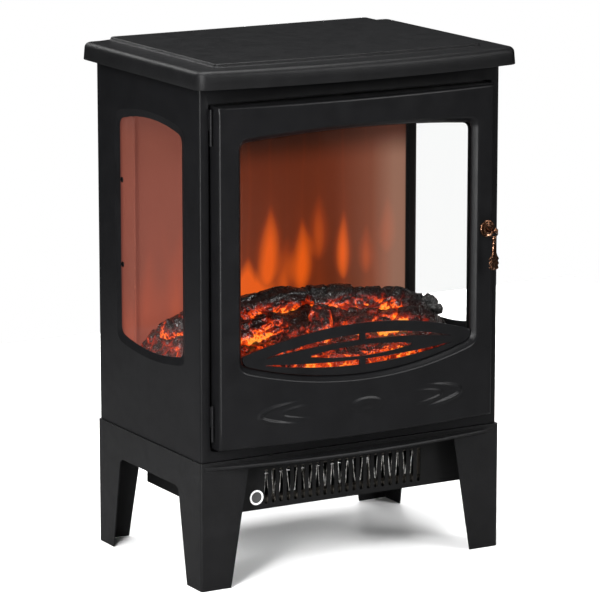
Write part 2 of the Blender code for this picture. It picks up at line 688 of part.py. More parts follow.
turned("spindle_motor", (spindle_half + 0.0165, SPINDLE_Y, SPINDLE_Z), "X",
       [(0.018, 0.0), (0.018, 0.014), (0.008, 0.0141), (0.008, 0.018)], STEEL, 22)
led_rear = box("led_board_rear", (-0.140, 0.140), (0.112, 0.1225), (0.262, 0.2636), BOARD)
for i in range(6):
    join(led_rear, turned("tool", ((i - 2.5) * 0.046, 0.1172, 0.2630), "Z",
                          [(0.0025, 0.0), (0.0025, 0.0030), (0.0016, 0.0045)], BOARD, 10))

# ======================= log bed =========================================================
BED_X, BED_Y0, BED_Y1 = 0.191, -0.1125, 0.0560
bed_cols, bed_rows = 21, 11


def bed_height(x, y):
    """Embers heaped up towards the screen and falling away at both ends."""
    across = 1 - (abs(x) / BED_X) ** 4
    heap = min(1.0, (y - BED_Y0) / 0.115)
    heap = heap * heap * (3 - 2 * heap)
    rough = 0.0035 * wave(61 * x + 13 * y, 97 * y + 3, 143 * x + 5 * math.sin(80 * y))
    return DECK_Z + 0.0085 + (0.013 + 0.034 * heap) * across ** 0.6 + rough * across


top_grid, low_grid = [], []
for i in range(bed_cols):
    x = -BED_X + 2 * BED_X * i / (bed_cols - 1)
    for j in range(bed_rows):
        y = BED_Y0 + (BED_Y1 - BED_Y0) * j / (bed_rows - 1)
        top_grid.append((x, y, bed_height(x, y)))
        low_grid.append((x, y, DECK_Z + GAP))
verts = top_grid + low_grid
total = bed_cols * bed_rows
faces = []
for i in range(bed_cols - 1):
    for j in range(bed_rows - 1):
        a, b = i * bed_rows + j, (i + 1) * bed_rows + j
        faces.append((a, b, b + 1, a + 1))
        faces.append((total + a, total + a + 1, total + b + 1, total + b))
for i in range(bed_cols - 1):
    for j in (0, bed_rows - 1):
        a, b = i * bed_rows + j, (i + 1) * bed_rows + j
        faces.append((a, b, total + b, total + a))
for j in range(bed_rows - 1):
    for i in (0, bed_cols - 1):
        a = i * bed_rows + j
        faces.append((a, a + 1, total + a + 1, total + a))
bed = mesh_object("ember_bed", verts, faces, EMBER)
cut(bed, box("cutter", (-0.130, 0.130), (-0.080, -0.020), (0.23, DECK_Z + 0.0095), EMBER))

LOGS = [
    ("log_rear_left", (-0.174, 0.008, 0.284), (0.004, 0.000, 0.308), 0.0195, 0.4),
    ("log_rear_right", (0.014, 0.006, 0.304), (0.182, -0.018, 0.279), 0.0205, 2.2),
    ("log_front_left", (-0.168, -0.060, 0.272), (-0.040, -0.036, 0.285), 0.0175, 3.7),
    ("log_middle", (-0.012, -0.074, 0.268), (0.014, -0.030, 0.297), 0.0115, 5.1),
    ("log_front_right", (0.034, -0.062, 0.274), (0.158, -0.050, 0.273), 0.0180, 1.3),
]
for index, (name, start, end, radius, phase) in enumerate(LOGS):
    piece = log_piece(name, start, end, radius, LOG, phase)
    for _, *earlier, earlier_phase in LOGS[:index]:
        cut(piece, log_piece("cutter", *earlier, LOG, earlier_phase, swell=0.0006))
    clean(piece)
    cut(bed, log_piece("cutter", start, end, radius, LOG, phase, swell=0.0006))
clean(bed)

led_bed = box("led_board_bed", (-0.120, 0.120), (-0.072, -0.028), (DECK_Z + GAP, DECK_Z + 0.0019), BOARD)
for i in range(5):
    join(led_bed, turned("tool", ((i - 2) * 0.048, -0.050, DECK_Z + 0.0012), "Z",
                         [(0.0025, 0.0), (0.0025, 0.0035), (0.0016, 0.0050)], BOARD, 10))

# ======================= door ============================================================
outer0 = rectangle_matched(0.0)
loft("door_panel", [
    bowed_loop(outer0, DOOR_REAR, bulge=False),
    bowed_loop(outer0, DOOR_FRONT + 0.0028),
    bowed_loop(rectangle_matched(0.0009), DOOR_FRONT + 0.0009),
    bowed_loop(rectangle_matched(0.0028), DOOR_FRONT),
    bowed_loop(window(0.0)[0], DOOR_FRONT),
    bowed_loop(window(0.0012)[0], DOOR_FRONT + 0.0008),
    bowed_loop(window(RIM_IN)[0], DOOR_FRONT + RIM_DEEP),
    bowed_loop(window(RIM_IN - 0.0004)[0], DOOR_FRONT + RIM_DEEP + 0.0013),
    bowed_loop(window(-0.0010)[0], DOOR_FRONT + SHEET),
    bowed_loop(rectangle_matched(0.0036), DOOR_FRONT + SHEET),
    bowed_loop(rectangle_matched(0.0015), DOOR_FRONT + 0.0036),
    bowed_loop(rectangle_matched(0.0015), DOOR_REAR, bulge=False),
], BLACK, ring=True)
door = bpy.data.objects["door_panel"]


def crescent(tip_x, tip_z, reach, rise, width):
    """Raised crescent whose tip points outwards, thinning along both arms."""
    outline = []
    for sign in (1, -1):
        leg = []
        for k in range(7):
            t = k / 6
            leg.append((tip_x - math.copysign(reach * t ** 1.7, tip_x),
                        tip_z + sign * rise * t ** 0.85))
        outline.append(leg)
    inner_leg = []
    for sign, leg in ((-1, outline[1]), (1, outline[0])):
        inner_leg.append([])
        for k in range(6):
            t = k / 6
            x, z = leg[k]
            pull = width * (1 - t) + 0.0004
            inner_leg[-1].append((x - math.copysign(pull, tip_x), z - sign * 0.0002 - sign * pull * 0.25 * t))
    path = outline[0][::-1] + outline[1][1:]
    back_path = inner_leg[0][:0:-1] + [inner_leg[0][0]] + inner_leg[1][1:]
    return path + back_path


def emboss(outline):
    loops = []
    for lift in (-0.0010, 0.0006):
        loops.append([(x, DOOR_FRONT + lift + bow(x), z) for x, z in outline])
    return loft("tool", loops, BLACK)


for tip_x, reach, rise in ((0.136, 0.036, 0.0125), (-0.136, 0.036, 0.0125),
                           (0.107, 0.030, 0.0105), (-0.107, 0.030, 0.0105)):
    join(door, emboss(crescent(tip_x, 0.2075, reach, rise, 0.0030)))
oval = [(0.003 + 0.0225 * math.cos(2 * math.pi * k / 20), 0.2070 + 0.0082 * math.sin(2 * math.pi * k / 20))
        for k in range(20)]
join(door, emboss(oval))
clean(door)

# glass behind the rim, following the bow
GLASS_HALF = WIN_HALF + 0.0015


def glass_high(x):
    fall = max(0.0, abs(x) / GLASS_HALF - 0.96) / 0.04
    return lens(x, GLASS_HALF, WIN_TOP + 0.0015, WIN_TOP_END + 0.0015) - 0.006 * fall ** 2


def glass_low(x):
    fall = max(0.0, abs(x) / GLASS_HALF - 0.96) / 0.04
    return lens(x, GLASS_HALF, WIN_BOT - 0.0015, WIN_BOT_END - 0.0015) + 0.006 * fall ** 2


glass_y = DOOR_FRONT + RIM_DEEP + 0.0013 + GAP
bowed_plate("door_glass", stations(GLASS_HALF, 25), glass_low, glass_high,
            glass_y, glass_y + 0.0030, GLASS)
clip_y = glass_y + 0.0030 + GAP
retainer = bowed_plate("door_glass_retainer", stations(GLASS_HALF + 0.0030, 13),
                       lambda x: glass_low(x) - 0.003, lambda x: glass_high(x) + 0.003,
                       clip_y, clip_y + 0.0012, DARK)
cut(retainer, prism("cutter", window(RIM_IN + 0.0015)[0], "Y", (-0.2, 0.0), DARK))

# fret in the lower part of the window
FRET_HALF = WIN_HALF - RIM_IN - 0.0010
FRET_END_LOW, FRET_END_HIGH = WIN_BOT_END + 0.0065, 0.2785
fret = bowed_plate("door_fret", stations(FRET_HALF, 25),
                   lambda x: lens(x, FRET_HALF, WIN_BOT + 0.0066, FRET_END_LOW),
                   lambda x: lens(x, FRET_HALF, 0.3045, FRET_END_HIGH),
                   DOOR_FRONT + 0.0052, DOOR_FRONT + 0.0077, BLACK)
combine(fret, [prism("tool", window(RIM_IN + 0.0006)[0], "Y", (-0.2, -0.1), BLACK)], "INTERSECT")


def crescent_slot(x0, x1, low, high):
    """Slot bounded by two arcs, from near the middle out to a point."""
    xs = [x0 + (x1 - x0) * k / 8 for k in range(9)]
    return [(x, low(x)) for x in xs] + [(x, high(x)) for x in reversed(xs[:-1])]


TIP = 0.1280
BAR = 0.0038
upper_high = lambda x: lens(x, TIP, 0.2918, 0.2745)
upper_low = lambda x: lens(x, TIP, 0.2845, 0.2738)
lower_high = lambda x: lens(x, TIP, 0.2612, 0.2668)
lower_low = lambda x: lens(x, TIP, 0.2545, 0.2660)
for side in (-1, 1):
    for low, high in ((upper_low, upper_high), (lower_low, lower_high)):
        slot = crescent_slot(side * BAR, side * TIP, low, high)
        cut(fret, prism("cutter", slot, "Y", (-0.2, -0.1), BLACK))
EYE_HALF = 0.0690
eye_xs = stations(EYE_HALF, 13)
eye = [(x, lens(x, EYE_HALF, 0.2648, 0.2704)) for x in eye_xs]
eye += [(x, lens(x, EYE_HALF, 0.2785, 0.2726)) for x in reversed(eye_xs)]
cut(fret, prism("cutter", eye, "Y", (-0.2, -0.1), BLACK))
clean(fret)

# hinges: leaf and barrel on the cabinet, ear and barrel on the door, one pin each
for word, z0 in (("upper", 0.5270), ("lower", 0.1790)):
    z1, z2 = z0 + 0.0180, z0 + 0.0420
    leaf = turned("hinge_leaf_" + word, (HINGE_X, HINGE_Y, 0.0), "Z",
                  [(PIN_R, z0 + 0.001), (PIN_R, z1 + GAP), (BARREL_R, z1 + GAP + 0.00001), (BARREL_R, z2),
                   (0.0012, z2 + 0.0008)], STEEL, 16)
    join(leaf, box("tool", (-FRAME_HALF + GAP, -FRAME_HALF + 0.0012), (HINGE_Y, STOP_Y - GAP),
                   (z1 + GAP, z2), STEEL))
    ear = turned("hinge_ear_" + word, (HINGE_X, HINGE_Y, 0.0), "Z",
                 [(BARREL_R, z0), (BARREL_R, z1)], STEEL, 16, bore=PIN_R + GAP)
    join(ear, box("tool", (HINGE_X + 0.0013, -DOOR_HALF - GAP), (HINGE_Y, -0.1240), (z0, z1), STEEL))
    set_origin(ear, (HINGE_X, HINGE_Y, z0))

box("magnet_catch", (0.1740, 0.1820), (-0.1375, STOP_Y - GAP), (0.462, 0.478), PLASTIC)
box("strike_plate", (0.1725, 0.1800), (-0.1437, -0.1378), (0.460, 0.480), STEEL)

# ======================= handle ==========================================================
face_y = DOOR_FRONT + bow(HANDLE_X - 0.010) - 0.0004
turned("handle_rosette", (HANDLE_X, face_y, HANDLE_Z), "Y",
       [(0.0100, 0.0), (0.0104, -0.0012), (0.0092, -0.0026), (0.0070, -0.0024), (0.0050, -0.0034)],
       COPPER, 28, bore=0.0023)
post = turned("handle_post", (HANDLE_X, face_y, HANDLE_Z), "Y",
              [(0.0020, 0.0), (0.0020, -0.0037), (0.0040, -0.00371), (0.0043, -0.0070),
               (0.0030, -0.0110), (0.0028, -0.0120), (0.0034, -0.0175), (0.0030, -0.0200),
               (0.0014, -0.0215)], COPPER, 20)
axis_y = face_y - HANDLE_REACH
cut(post, turned("cutter", (HANDLE_X - 0.01, axis_y, EYE_Z), "X", [(0.0013, 0.0), (0.0013, 0.02)],
                 COPPER, 12))
clean(post)

# pendant: a bail through the post's eye, a waisted stem and a fringed end
pendant_profile = [
    (0.0016, 0.0010, 0.0), (0.0030, 0.0016, -0.003), (0.0020, 0.0016, -0.008),
    (0.0023, 0.0018, -0.015), (0.0042, 0.0021, -0.020), (0.0062, 0.0022, -0.024),
    (0.0052, 0.0022, -0.027), (0.0068, 0.0023, -0.031), (0.0056, 0.0022, -0.034),
    (0.0062, 0.0021, -0.037), (0.0030, 0.0014, -0.040),
]
hang = EYE_Z - 0.0062
pendant_loops = []
for rx, ry, dz in pendant_profile:
    pendant_loops.append([(HANDLE_X + rx * u, axis_y + ry * v, hang + dz) for u, v in circle(1.0, 14)])
pendant = loft("handle_pendant", pendant_loops, COPPER)
BAIL_WAY = [(-0.0046, 0.0), (-0.0046, -0.0040), (-0.0028, -0.0066), (0.0028, -0.0066),
            (0.0046, -0.0040), (0.0046, 0.0)]
bail_r = 0.00085
bail_loops = []
for i, (x, z) in enumerate(BAIL_WAY):
    here = Vector((x, z))
    back_to = (here - Vector(BAIL_WAY[i - 1])).normalized()
    on_to = (Vector(BAIL_WAY[(i + 1) % len(BAIL_WAY)]) - here).normalized()
    out = Vector((back_to.y + on_to.y, -back_to.x - on_to.x)).normalized()
    reach = bail_r / out.dot(Vector((on_to.y, -on_to.x)))
    bail_loops.append([(HANDLE_X + x + out.x * reach * u, axis_y + bail_r * v, EYE_Z + z + out.y * reach * u)
                       for u, v in circle(1.0, 8)])
join(pendant, loft("tool", bail_loops, COPPER, ring=True))
clean(pendant)
set_origin(pendant, (HANDLE_X, axis_y, EYE_Z))

# ======================= controls behind the door ========================================
PANEL_Y = -0.1165
panel = box("control_panel", (-0.165, 0.165), (PANEL_Y, PANEL_Y + 0.0012), (0.1740, 0.2370), DARK)
SWITCH_X = (-0.100, -0.068, -0.036)
SWITCH_Z = 0.207
for x in SWITCH_X:
    cut(panel, box("cutter", (x - 0.0100, x + 0.0100), (-0.2, 0.0),
                   (SWITCH_Z - 0.0140, SWITCH_Z + 0.0140), DARK))
cut(panel, turned("cutter", (0.060, -0.15, SWITCH_Z), "Y", [(0.0040, 0.0), (0.0040, 0.06)], DARK, 16))
bank = box("switch_bank", (SWITCH_X[0] - 0.0097, SWITCH_X[2] + 0.0097), (-0.1040, -0.0950),
           (SWITCH_Z - 0.0137, SWITCH_Z + 0.0137), PLASTIC)
for index, x in enumerate(SWITCH_X, 1):
    join(bank, box("tool", (x - 0.0097, x + 0.0097), (PANEL_Y - 0.0010, -0.1020),
                   (SWITCH_Z - 0.0137, SWITCH_Z + 0.0137), PLASTIC))
    cut(bank, box("cutter", (x - 0.0078, x + 0.0078), (-0.2, -0.1080),
                  (SWITCH_Z - 0.0118, SWITCH_Z + 0.0118), PLASTIC))
    rocker_plan = [(PANEL_Y - 0.0030, SWITCH_Z + 0.0103), (PANEL_Y - 0.0008, SWITCH_Z + 0.0006),
                   (PANEL_Y - 0.0008, SWITCH_Z - 0.0006), (PANEL_Y - 0.0012, SWITCH_Z - 0.0103),
                   (PANEL_Y + 0.0022, SWITCH_Z - 0.0100), (PANEL_Y + 0.0042, SWITCH_Z),
                   (PANEL_Y + 0.0022, SWITCH_Z + 0.0100)]
    rocker = prism("rocker_%d" % index, rocker_plan, "X", (x - 0.0073, x + 0.0073), PLASTIC)
    set_origin(rocker, (x, PANEL_Y + 0.0018, SWITCH_Z))
knob = turned("thermostat_knob", (0.060, PANEL_Y - GAP, SWITCH_Z), "Y",
              [(0.0130, -0.0004), (0.0130, -0.0030), (0.0105, -0.0036), (0.0098, -0.0110),
               (0.0088, -0.0118)], PLASTIC, 24)
join(knob, turned("tool", (0.060, PANEL_Y - 0.002, SWITCH_Z), "Y", [(0.0030, 0.0), (0.0030, 0.0080)],
                  PLASTIC, 12),
     box("tool", (0.0590, 0.0610), (PANEL_Y - 0.0126, PANEL_Y - 0.0050),
         (SWITCH_Z - 0.0070, SWITCH_Z + 0.0088), PLASTIC))
clean(knob)
set_origin(knob, (0.060, PANEL_Y, SWITCH_Z))
thermostat = box("thermostat_body", (0.044, 0.076), (-0.1120, -0.0920), (SWITCH_Z - 0.016, SWITCH_Z + 0.016),
                 PLASTIC)
cut(thermostat, turned("cutter", (0.060, -0.15, SWITCH_Z), "Y", [(0.0034, 0.0), (0.0034, 0.0460)],
                       PLASTIC, 16))

for piece in bpy.context.scene.objects:
    piece.location.y += OVERHANG
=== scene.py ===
"""Looks for the electric stove fireplace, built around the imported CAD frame.

Sheet steel gets rolled edges and a fine powder coat, and the flame screen, logs and ember bed glow.
The lid, door, its pane and fret, logs, ember bed, screws, heater wire, badge and handle are
remodelled in finer mesh than the CAD's; every other piece keeps its CAD shape, most with rolled edges.
"""

import json
import math

import bmesh
import bpy
from mathutils import Matrix, Vector, noise

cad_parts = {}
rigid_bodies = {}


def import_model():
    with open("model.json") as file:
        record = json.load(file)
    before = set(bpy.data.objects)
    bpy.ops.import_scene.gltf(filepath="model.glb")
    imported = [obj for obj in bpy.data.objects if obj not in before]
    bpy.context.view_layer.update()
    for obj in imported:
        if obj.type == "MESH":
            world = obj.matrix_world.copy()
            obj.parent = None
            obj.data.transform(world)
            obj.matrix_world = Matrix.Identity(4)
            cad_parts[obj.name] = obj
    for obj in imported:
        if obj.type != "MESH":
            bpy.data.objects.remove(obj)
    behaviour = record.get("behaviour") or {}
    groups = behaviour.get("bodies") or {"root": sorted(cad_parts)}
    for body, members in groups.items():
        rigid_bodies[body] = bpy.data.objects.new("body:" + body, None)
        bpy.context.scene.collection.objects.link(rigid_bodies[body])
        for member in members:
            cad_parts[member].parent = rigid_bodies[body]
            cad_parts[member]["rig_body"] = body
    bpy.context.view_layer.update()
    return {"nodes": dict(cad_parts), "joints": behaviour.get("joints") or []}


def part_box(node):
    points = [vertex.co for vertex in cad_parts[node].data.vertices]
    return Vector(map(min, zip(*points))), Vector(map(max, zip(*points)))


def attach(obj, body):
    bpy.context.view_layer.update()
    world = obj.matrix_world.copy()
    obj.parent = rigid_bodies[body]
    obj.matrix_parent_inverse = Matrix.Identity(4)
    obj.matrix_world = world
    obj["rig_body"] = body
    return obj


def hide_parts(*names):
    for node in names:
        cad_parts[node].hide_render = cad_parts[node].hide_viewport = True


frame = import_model()
NODES = frame["nodes"]
# shapes below are drawn about the middle of the base, which stands this far in front of the origin
OVERHANG = Vector((0.0, 0.0115, 0.0))


def box(node):
    low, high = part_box(node)
    return low - OVERHANG, high - OVERHANG


# ---------------------------------------------------------------- node helpers -----------
class Shader:
    """Short way to wire one Principled material."""

    def __init__(self, name, colour, roughness, metallic=0.0, slot=None):
        self.mat = bpy.data.materials.new(name)
        self.mat.use_nodes = True
        self.tree = self.mat.node_tree
        self.bsdf = self.tree.nodes["Principled BSDF"]
        self.set("Base Color", (*colour, 1.0))
        self.set("Roughness", roughness)
        self.set("Metallic", metallic)
        self.slot = slot
        self.coords = self.tree.nodes.new("ShaderNodeTexCoord").outputs["Object"]

    def set(self, socket, value):
        self.bsdf.inputs[socket].default_value = value

    def link(self, output, target):
        self.tree.links.new(output, target)

    def wire(self, output, socket):
        self.link(output, self.bsdf.inputs[socket])

    def mapped(self, scale=(1, 1, 1), shift=(0, 0, 0)):
        node = self.tree.nodes.new("ShaderNodeMapping")
        node.inputs["Scale"].default_value = scale
        node.inputs["Location"].default_value = shift
        self.link(self.coords, node.inputs["Vector"])
        return node.outputs["Vector"]

    def noise(self, scale, detail=4.0, rough=0.55, distortion=0.0, vector=None, out="Fac"):
        node = self.tree.nodes.new("ShaderNodeTexNoise")
        node.inputs["Scale"].default_value = scale
        node.inputs["Detail"].default_value = detail
        node.inputs["Roughness"].default_value = rough
        node.inputs["Distortion"].default_value = distortion
        self.link(vector or self.coords, node.inputs["Vector"])
        return node.outputs[out]

    def voronoi(self, scale, feature, vector, out="Distance"):
        node = self.tree.nodes.new("ShaderNodeTexVoronoi")
        node.feature = feature
        node.inputs["Scale"].default_value = scale
        self.link(vector, node.inputs["Vector"])
        return node.outputs[out]

    def ramp(self, source, *stops):
        node = self.tree.nodes.new("ShaderNodeValToRGB")
        elements = node.color_ramp.elements
        while len(elements) < len(stops):
            elements.new(0.5)
        for element, (place, colour) in zip(elements, stops):
            element.position = place
            value = colour if isinstance(colour, tuple) else (colour,) * 3
            element.color = (*value, 1.0)
        self.link(source, node.inputs["Fac"])
        return node.outputs["Color"]

    def math(self, operation, a, b=None, c=None):
        node = self.tree.nodes.new("ShaderNodeMath")
        node.operation = operation
        for socket, value in zip(node.inputs, (a, b, c)):
            if isinstance(value, (int, float)):
                socket.default_value = value
            elif value is not None:
                self.link(value, socket)
        return node.outputs[0]

    def mix(self, factor, a, b, blend="MIX"):
        node = self.tree.nodes.new("ShaderNodeMix")
        node.data_type = "RGBA"
        node.blend_type = blend
        for socket, value in ((node.inputs[0], factor), (node.inputs[6], a), (node.inputs[7], b)):
            if isinstance(value, (int, float)):
                socket.default_value = value
            elif isinstance(value, tuple):
                socket.default_value = (*value, 1.0)
            else:
                self.link(value, socket)
        return node.outputs[2]

    def axes(self, source=None):
        node = self.tree.nodes.new("ShaderNodeSeparateXYZ")
        self.link(source or self.coords, node.inputs["Vector"])
        return node.outputs

    def facing(self):
        """Components of the surface's direction."""
        return self.axes(self.tree.nodes.new("ShaderNodeNewGeometry").outputs["Normal"])

    def tinted(self, source, colour, *stops):
        """Base colour made darker and lighter in patches: each stop is (place, share of it)."""
        shades = [(place, tuple(min(1.0, c * share) for c in colour)) for place, share in stops]
        self.wire(self.ramp(source, *shades), "Base Color")

    def bump(self, height, distance):
        node = self.tree.nodes.new("ShaderNodeBump")
        node.inputs["Strength"].default_value = 1.0
        node.inputs["Distance"].default_value = distance
        self.link(height, node.inputs["Height"])
        self.wire(node.outputs["Normal"], "Normal")


def span(s, value, low, high):
    """Smooth 0-1 step of a value between two levels."""
    node = s.tree.nodes.new("ShaderNodeMapRange")
    node.interpolation_type = "SMOOTHSTEP"
    node.inputs["From Min"].default_value = low
    node.inputs["From Max"].default_value = high
    s.link(value, node.inputs["Value"])
    return node.outputs["Result"]


def fade(s, value, low, high):
    """Smooth 1-0 step of a value between two levels."""
    return s.math("SUBTRACT", 1.0, span(s, value, low, high))


# ---------------------------------------------------------------- materials --------------
COAT_SHINE = 0.13


def coated_steel(name, colour, roughness, grain, depth, slot, flow=0.35):
    """Powder coat: orange-peel flow under a fine sand grain, with a little dust in colour."""
    s = Shader(name, colour, roughness, slot=slot)
    s.set("Specular IOR Level", COAT_SHINE)
    fine = s.noise(grain, 3.0, 0.6)
    broad = s.noise(grain * 0.16, 2.0, 0.5)
    s.bump(s.math("MULTIPLY_ADD", broad, flow, fine), depth)
    s.tinted(s.noise(38.0, 5.0, 0.6), colour, (0.30, 0.82), (0.75, 1.22))
    s.wire(s.ramp(s.noise(70.0, 3.0), (0.30, roughness * 0.86), (0.72, roughness * 1.12)), "Roughness")
    return s


TEXTURED = coated_steel("textured_coat", (0.0058, 0.0058, 0.0061), 0.36, 1050.0, 0.00030,
                        "textured_coat_black")
SATIN = coated_steel("satin_coat", (0.0044, 0.0044, 0.0048), 0.34, 2600.0, 0.00003,
                     "powder_coat_black", flow=0.8)
INNER = coated_steel("inner_coat", (0.0040, 0.0040, 0.0041), 0.55, 2000.0, 0.00005, "inner_steel_black")


def zinc():
    """Bright plating with fine upright streaks."""
    colour, roughness = (0.50, 0.50, 0.49), 0.34
    s = Shader("zinc_plate", colour, roughness, metallic=1.0, slot="zinc_plated_steel")
    streak = s.noise(900.0, 3.0, vector=s.mapped(scale=(1.0, 1.0, 0.06)))
    s.wire(s.ramp(streak, (0.3, roughness * 0.75), (0.7, roughness * 1.3)), "Roughness")
    s.tinted(s.noise(120.0, 4.0), colour, (0.35, 0.8), (0.7, 1.0))
    s.bump(streak, 0.00002)
    return s


ZINC = zinc()


def copper():
    """Antique copper: bright metal in patches between a brown-black patina."""
    s = Shader("antique_copper", (0.40, 0.19, 0.10), 0.30, metallic=1.0, slot="antique_copper")
    patina = s.noise(420.0, 5.0, 0.62)
    s.wire(s.ramp(patina, (0.42, (0.024, 0.013, 0.009)), (0.55, (0.17, 0.078, 0.042)),
                  (0.72, (0.66, 0.40, 0.27))), "Base Color")
    s.wire(s.ramp(patina, (0.36, 0.40), (0.66, 0.14)), "Roughness")
    s.bump(s.noise(1500.0, 3.0), 0.00005)
    return s


COPPER = copper()


def plastic(name, colour, roughness, slot, grain=3200.0):
    """Moulded or pressed board surface with a fine grain."""
    s = Shader(name, colour, roughness, slot=slot)
    s.bump(s.noise(grain, 3.0), 0.00003)
    s.tinted(s.noise(90.0, 4.0), colour, (0.3, 0.85), (0.7, 1.15))
    s.wire(s.ramp(s.noise(220.0, 2.0), (0.3, roughness * 0.85), (0.7, roughness * 1.15)), "Roughness")
    return s


PLASTIC = plastic("moulded_black", (0.020, 0.020, 0.021), 0.42, "black_plastic")
# the mica is kept dark as painted shade inside the heater's vent slots
MICA = plastic("mica_sheet", (0.060, 0.053, 0.044), 0.45, "mica_board", grain=700.0)
BOARD = plastic("coated_board", (0.62, 0.64, 0.62), 0.40, "circuit_board")
BADGE_DARK = plastic("badge_ink", (0.035, 0.035, 0.035), 0.50, "badge_white")
BADGE_WHITE = plastic("badge_paper", (0.80, 0.80, 0.79), 0.42, "badge_white")


def bright_wire():
    """Resistance wire, bright in places and scaled grey in others."""
    s = Shader("bright_wire", (0.75, 0.74, 0.72), 0.25, metallic=0.25, slot="resistance_wire")
    s.wire(s.ramp(s.noise(190.0, 4.0), (0.40, (0.22, 0.21, 0.19)), (0.58, (0.92, 0.91, 0.89))), "Base Color")
    s.bump(s.noise(2400.0, 2.0), 0.00002)
    return s


WIRE = bright_wire()


def foil():
    """Crumpled mirror foil of the turning spindle."""
    s = Shader("spindle_foil", (0.75, 0.73, 0.70), 0.15, metallic=1.0, slot="spindle_foil")
    s.bump(s.noise(180.0, 4.0), 0.0006)
    s.wire(s.ramp(s.noise(90.0), (0.3, 0.08), (0.7, 0.28)), "Roughness")
    return s


FOIL = foil()


def clear_glass(name, shine):
    """Thin pane: mostly straight-through light with a Fresnel reflection on top."""
    s = Shader(name, (0.93, 0.95, 0.95), 0.03, slot="tempered_glass")
    tree = s.tree
    out = tree.nodes["Material Output"]
    through = tree.nodes.new("ShaderNodeBsdfTransparent")
    through.inputs["Color"].default_value = (0.994, 0.997, 0.996, 1.0)
    gloss = tree.nodes.new("ShaderNodeBsdfGlossy")
    smear = s.ramp(s.noise(14.0, 5.0, 0.6), (0.35, 0.015), (0.75, 0.06))
    s.link(smear, gloss.inputs["Roughness"])
    fresnel = tree.nodes.new("ShaderNodeFresnel")
    fresnel.inputs["IOR"].default_value = 1.48
    # only the face turned to the light shines, because the light isn't bent inside the pane
    side = tree.nodes.new("ShaderNodeNewGeometry")
    outer = s.math("SUBTRACT", 1.0, side.outputs["Backfacing"])
    dulled = s.math("MULTIPLY", s.math("MULTIPLY", fresnel.outputs[0], shine), outer)
    mixer = tree.nodes.new("ShaderNodeMixShader")
    s.link(dulled, mixer.inputs[0])
    s.link(through.outputs[0], mixer.inputs[1])
    s.link(gloss.outputs[0], mixer.inputs[2])
    s.link(mixer.outputs[0], out.inputs["Surface"])
    return s


DOOR_GLASS = clear_glass("door_glass_clear", 0.12)
SIDE_GLASS = clear_glass("side_glass_clear", 0.45)


# flames on the screen: middle across it, foot and tip heights, half width, strength
TONGUES = (
    (-0.168, 0.270, 0.372, 0.014, 0.14), (-0.128, 0.275, 0.398, 0.015, 0.18),
    (-0.090, 0.280, 0.385, 0.014, 0.26), (-0.060, 0.290, 0.420, 0.013, 0.42),
    (-0.034, 0.262, 0.352, 0.017, 1.25), (-0.005, 0.312, 0.414, 0.0130, 0.86),
    (0.018, 0.300, 0.372, 0.009, 0.40), (0.040, 0.300, 0.394, 0.0125, 0.86),
    (0.063, 0.335, 0.420, 0.0110, 0.46), (0.098, 0.308, 0.397, 0.0090, 0.80),
    (0.131, 0.312, 0.376, 0.008, 0.34), (0.163, 0.335, 0.408, 0.010, 0.26),
)
SCREEN_BROWN = (0.05, 0.016, 0.010)
BLACK = (0.0, 0.0, 0.0)


def flame_tongues(s, x, z):
    """Sum of soft teardrops of light, each with a faint trail above it."""
    total = 0.0
    for middle, foot, tip, half, strength in TONGUES:
        rise = s.math("DIVIDE", s.math("SUBTRACT", z, foot), tip - foot)
        rise = s.math("MINIMUM", s.math("MAXIMUM", rise, 0.0), 1.0)
        swell = s.math("SINE", s.math("MULTIPLY", s.math("POWER", rise, 0.72), math.pi))
        swell = s.math("MAXIMUM", swell, 0.02)
        aside = s.math("ABSOLUTE", s.math("SUBTRACT", x, middle))
        off = s.math("DIVIDE", aside, s.math("MULTIPLY_ADD", swell, half, 0.0020))
        body = s.math("MULTIPLY", fade(s, off, 0.0, 1.55), s.math("POWER", swell, 0.8))
        trail = s.math("MULTIPLY", fade(s, z, foot + 0.01, tip + 0.045), fade(s, aside, 0.0, half * 1.5))
        total = s.math("MULTIPLY_ADD", s.math("MULTIPLY_ADD", trail, 0.22, body), strength, total)
    return total


def flame_heat(s, x, z):
    """Flames, a streaky haze low on the screen, and the light over the logs at the left."""
    sway = s.noise(7.0, 2.0, 0.5, vector=s.mapped(scale=(1.0, 1.0, 0.9), shift=(0.7, 0.0, 0.2)))
    swayed = s.math("MULTIPLY_ADD", s.math("SUBTRACT", sway, 0.5), 0.020, x)
    streaks = s.noise(24.0, 2.0, 0.5, 0.4, vector=s.mapped(scale=(1.0, 1.0, 0.20)))
    haze = s.math("MULTIPLY", span(s, streaks, 0.42, 0.72), fade(s, z, 0.30, 0.44))
    hearth = s.math("MULTIPLY", fade(s, z, 0.285, 0.350), fade(s, x, -0.03, 0.10))
    hearth = s.math("MULTIPLY", hearth, s.math("MULTIPLY_ADD", span(s, x, -0.10, -0.05), 0.7, 0.3))
    hearth = s.math("MULTIPLY", hearth, s.math("MULTIPLY_ADD", span(s, streaks, 0.36, 0.62), 0.45, 0.30))
    glow = s.math("ADD", s.math("MULTIPLY", haze, 0.22), hearth)
    return s.math("ADD", flame_tongues(s, swayed, z), glow)


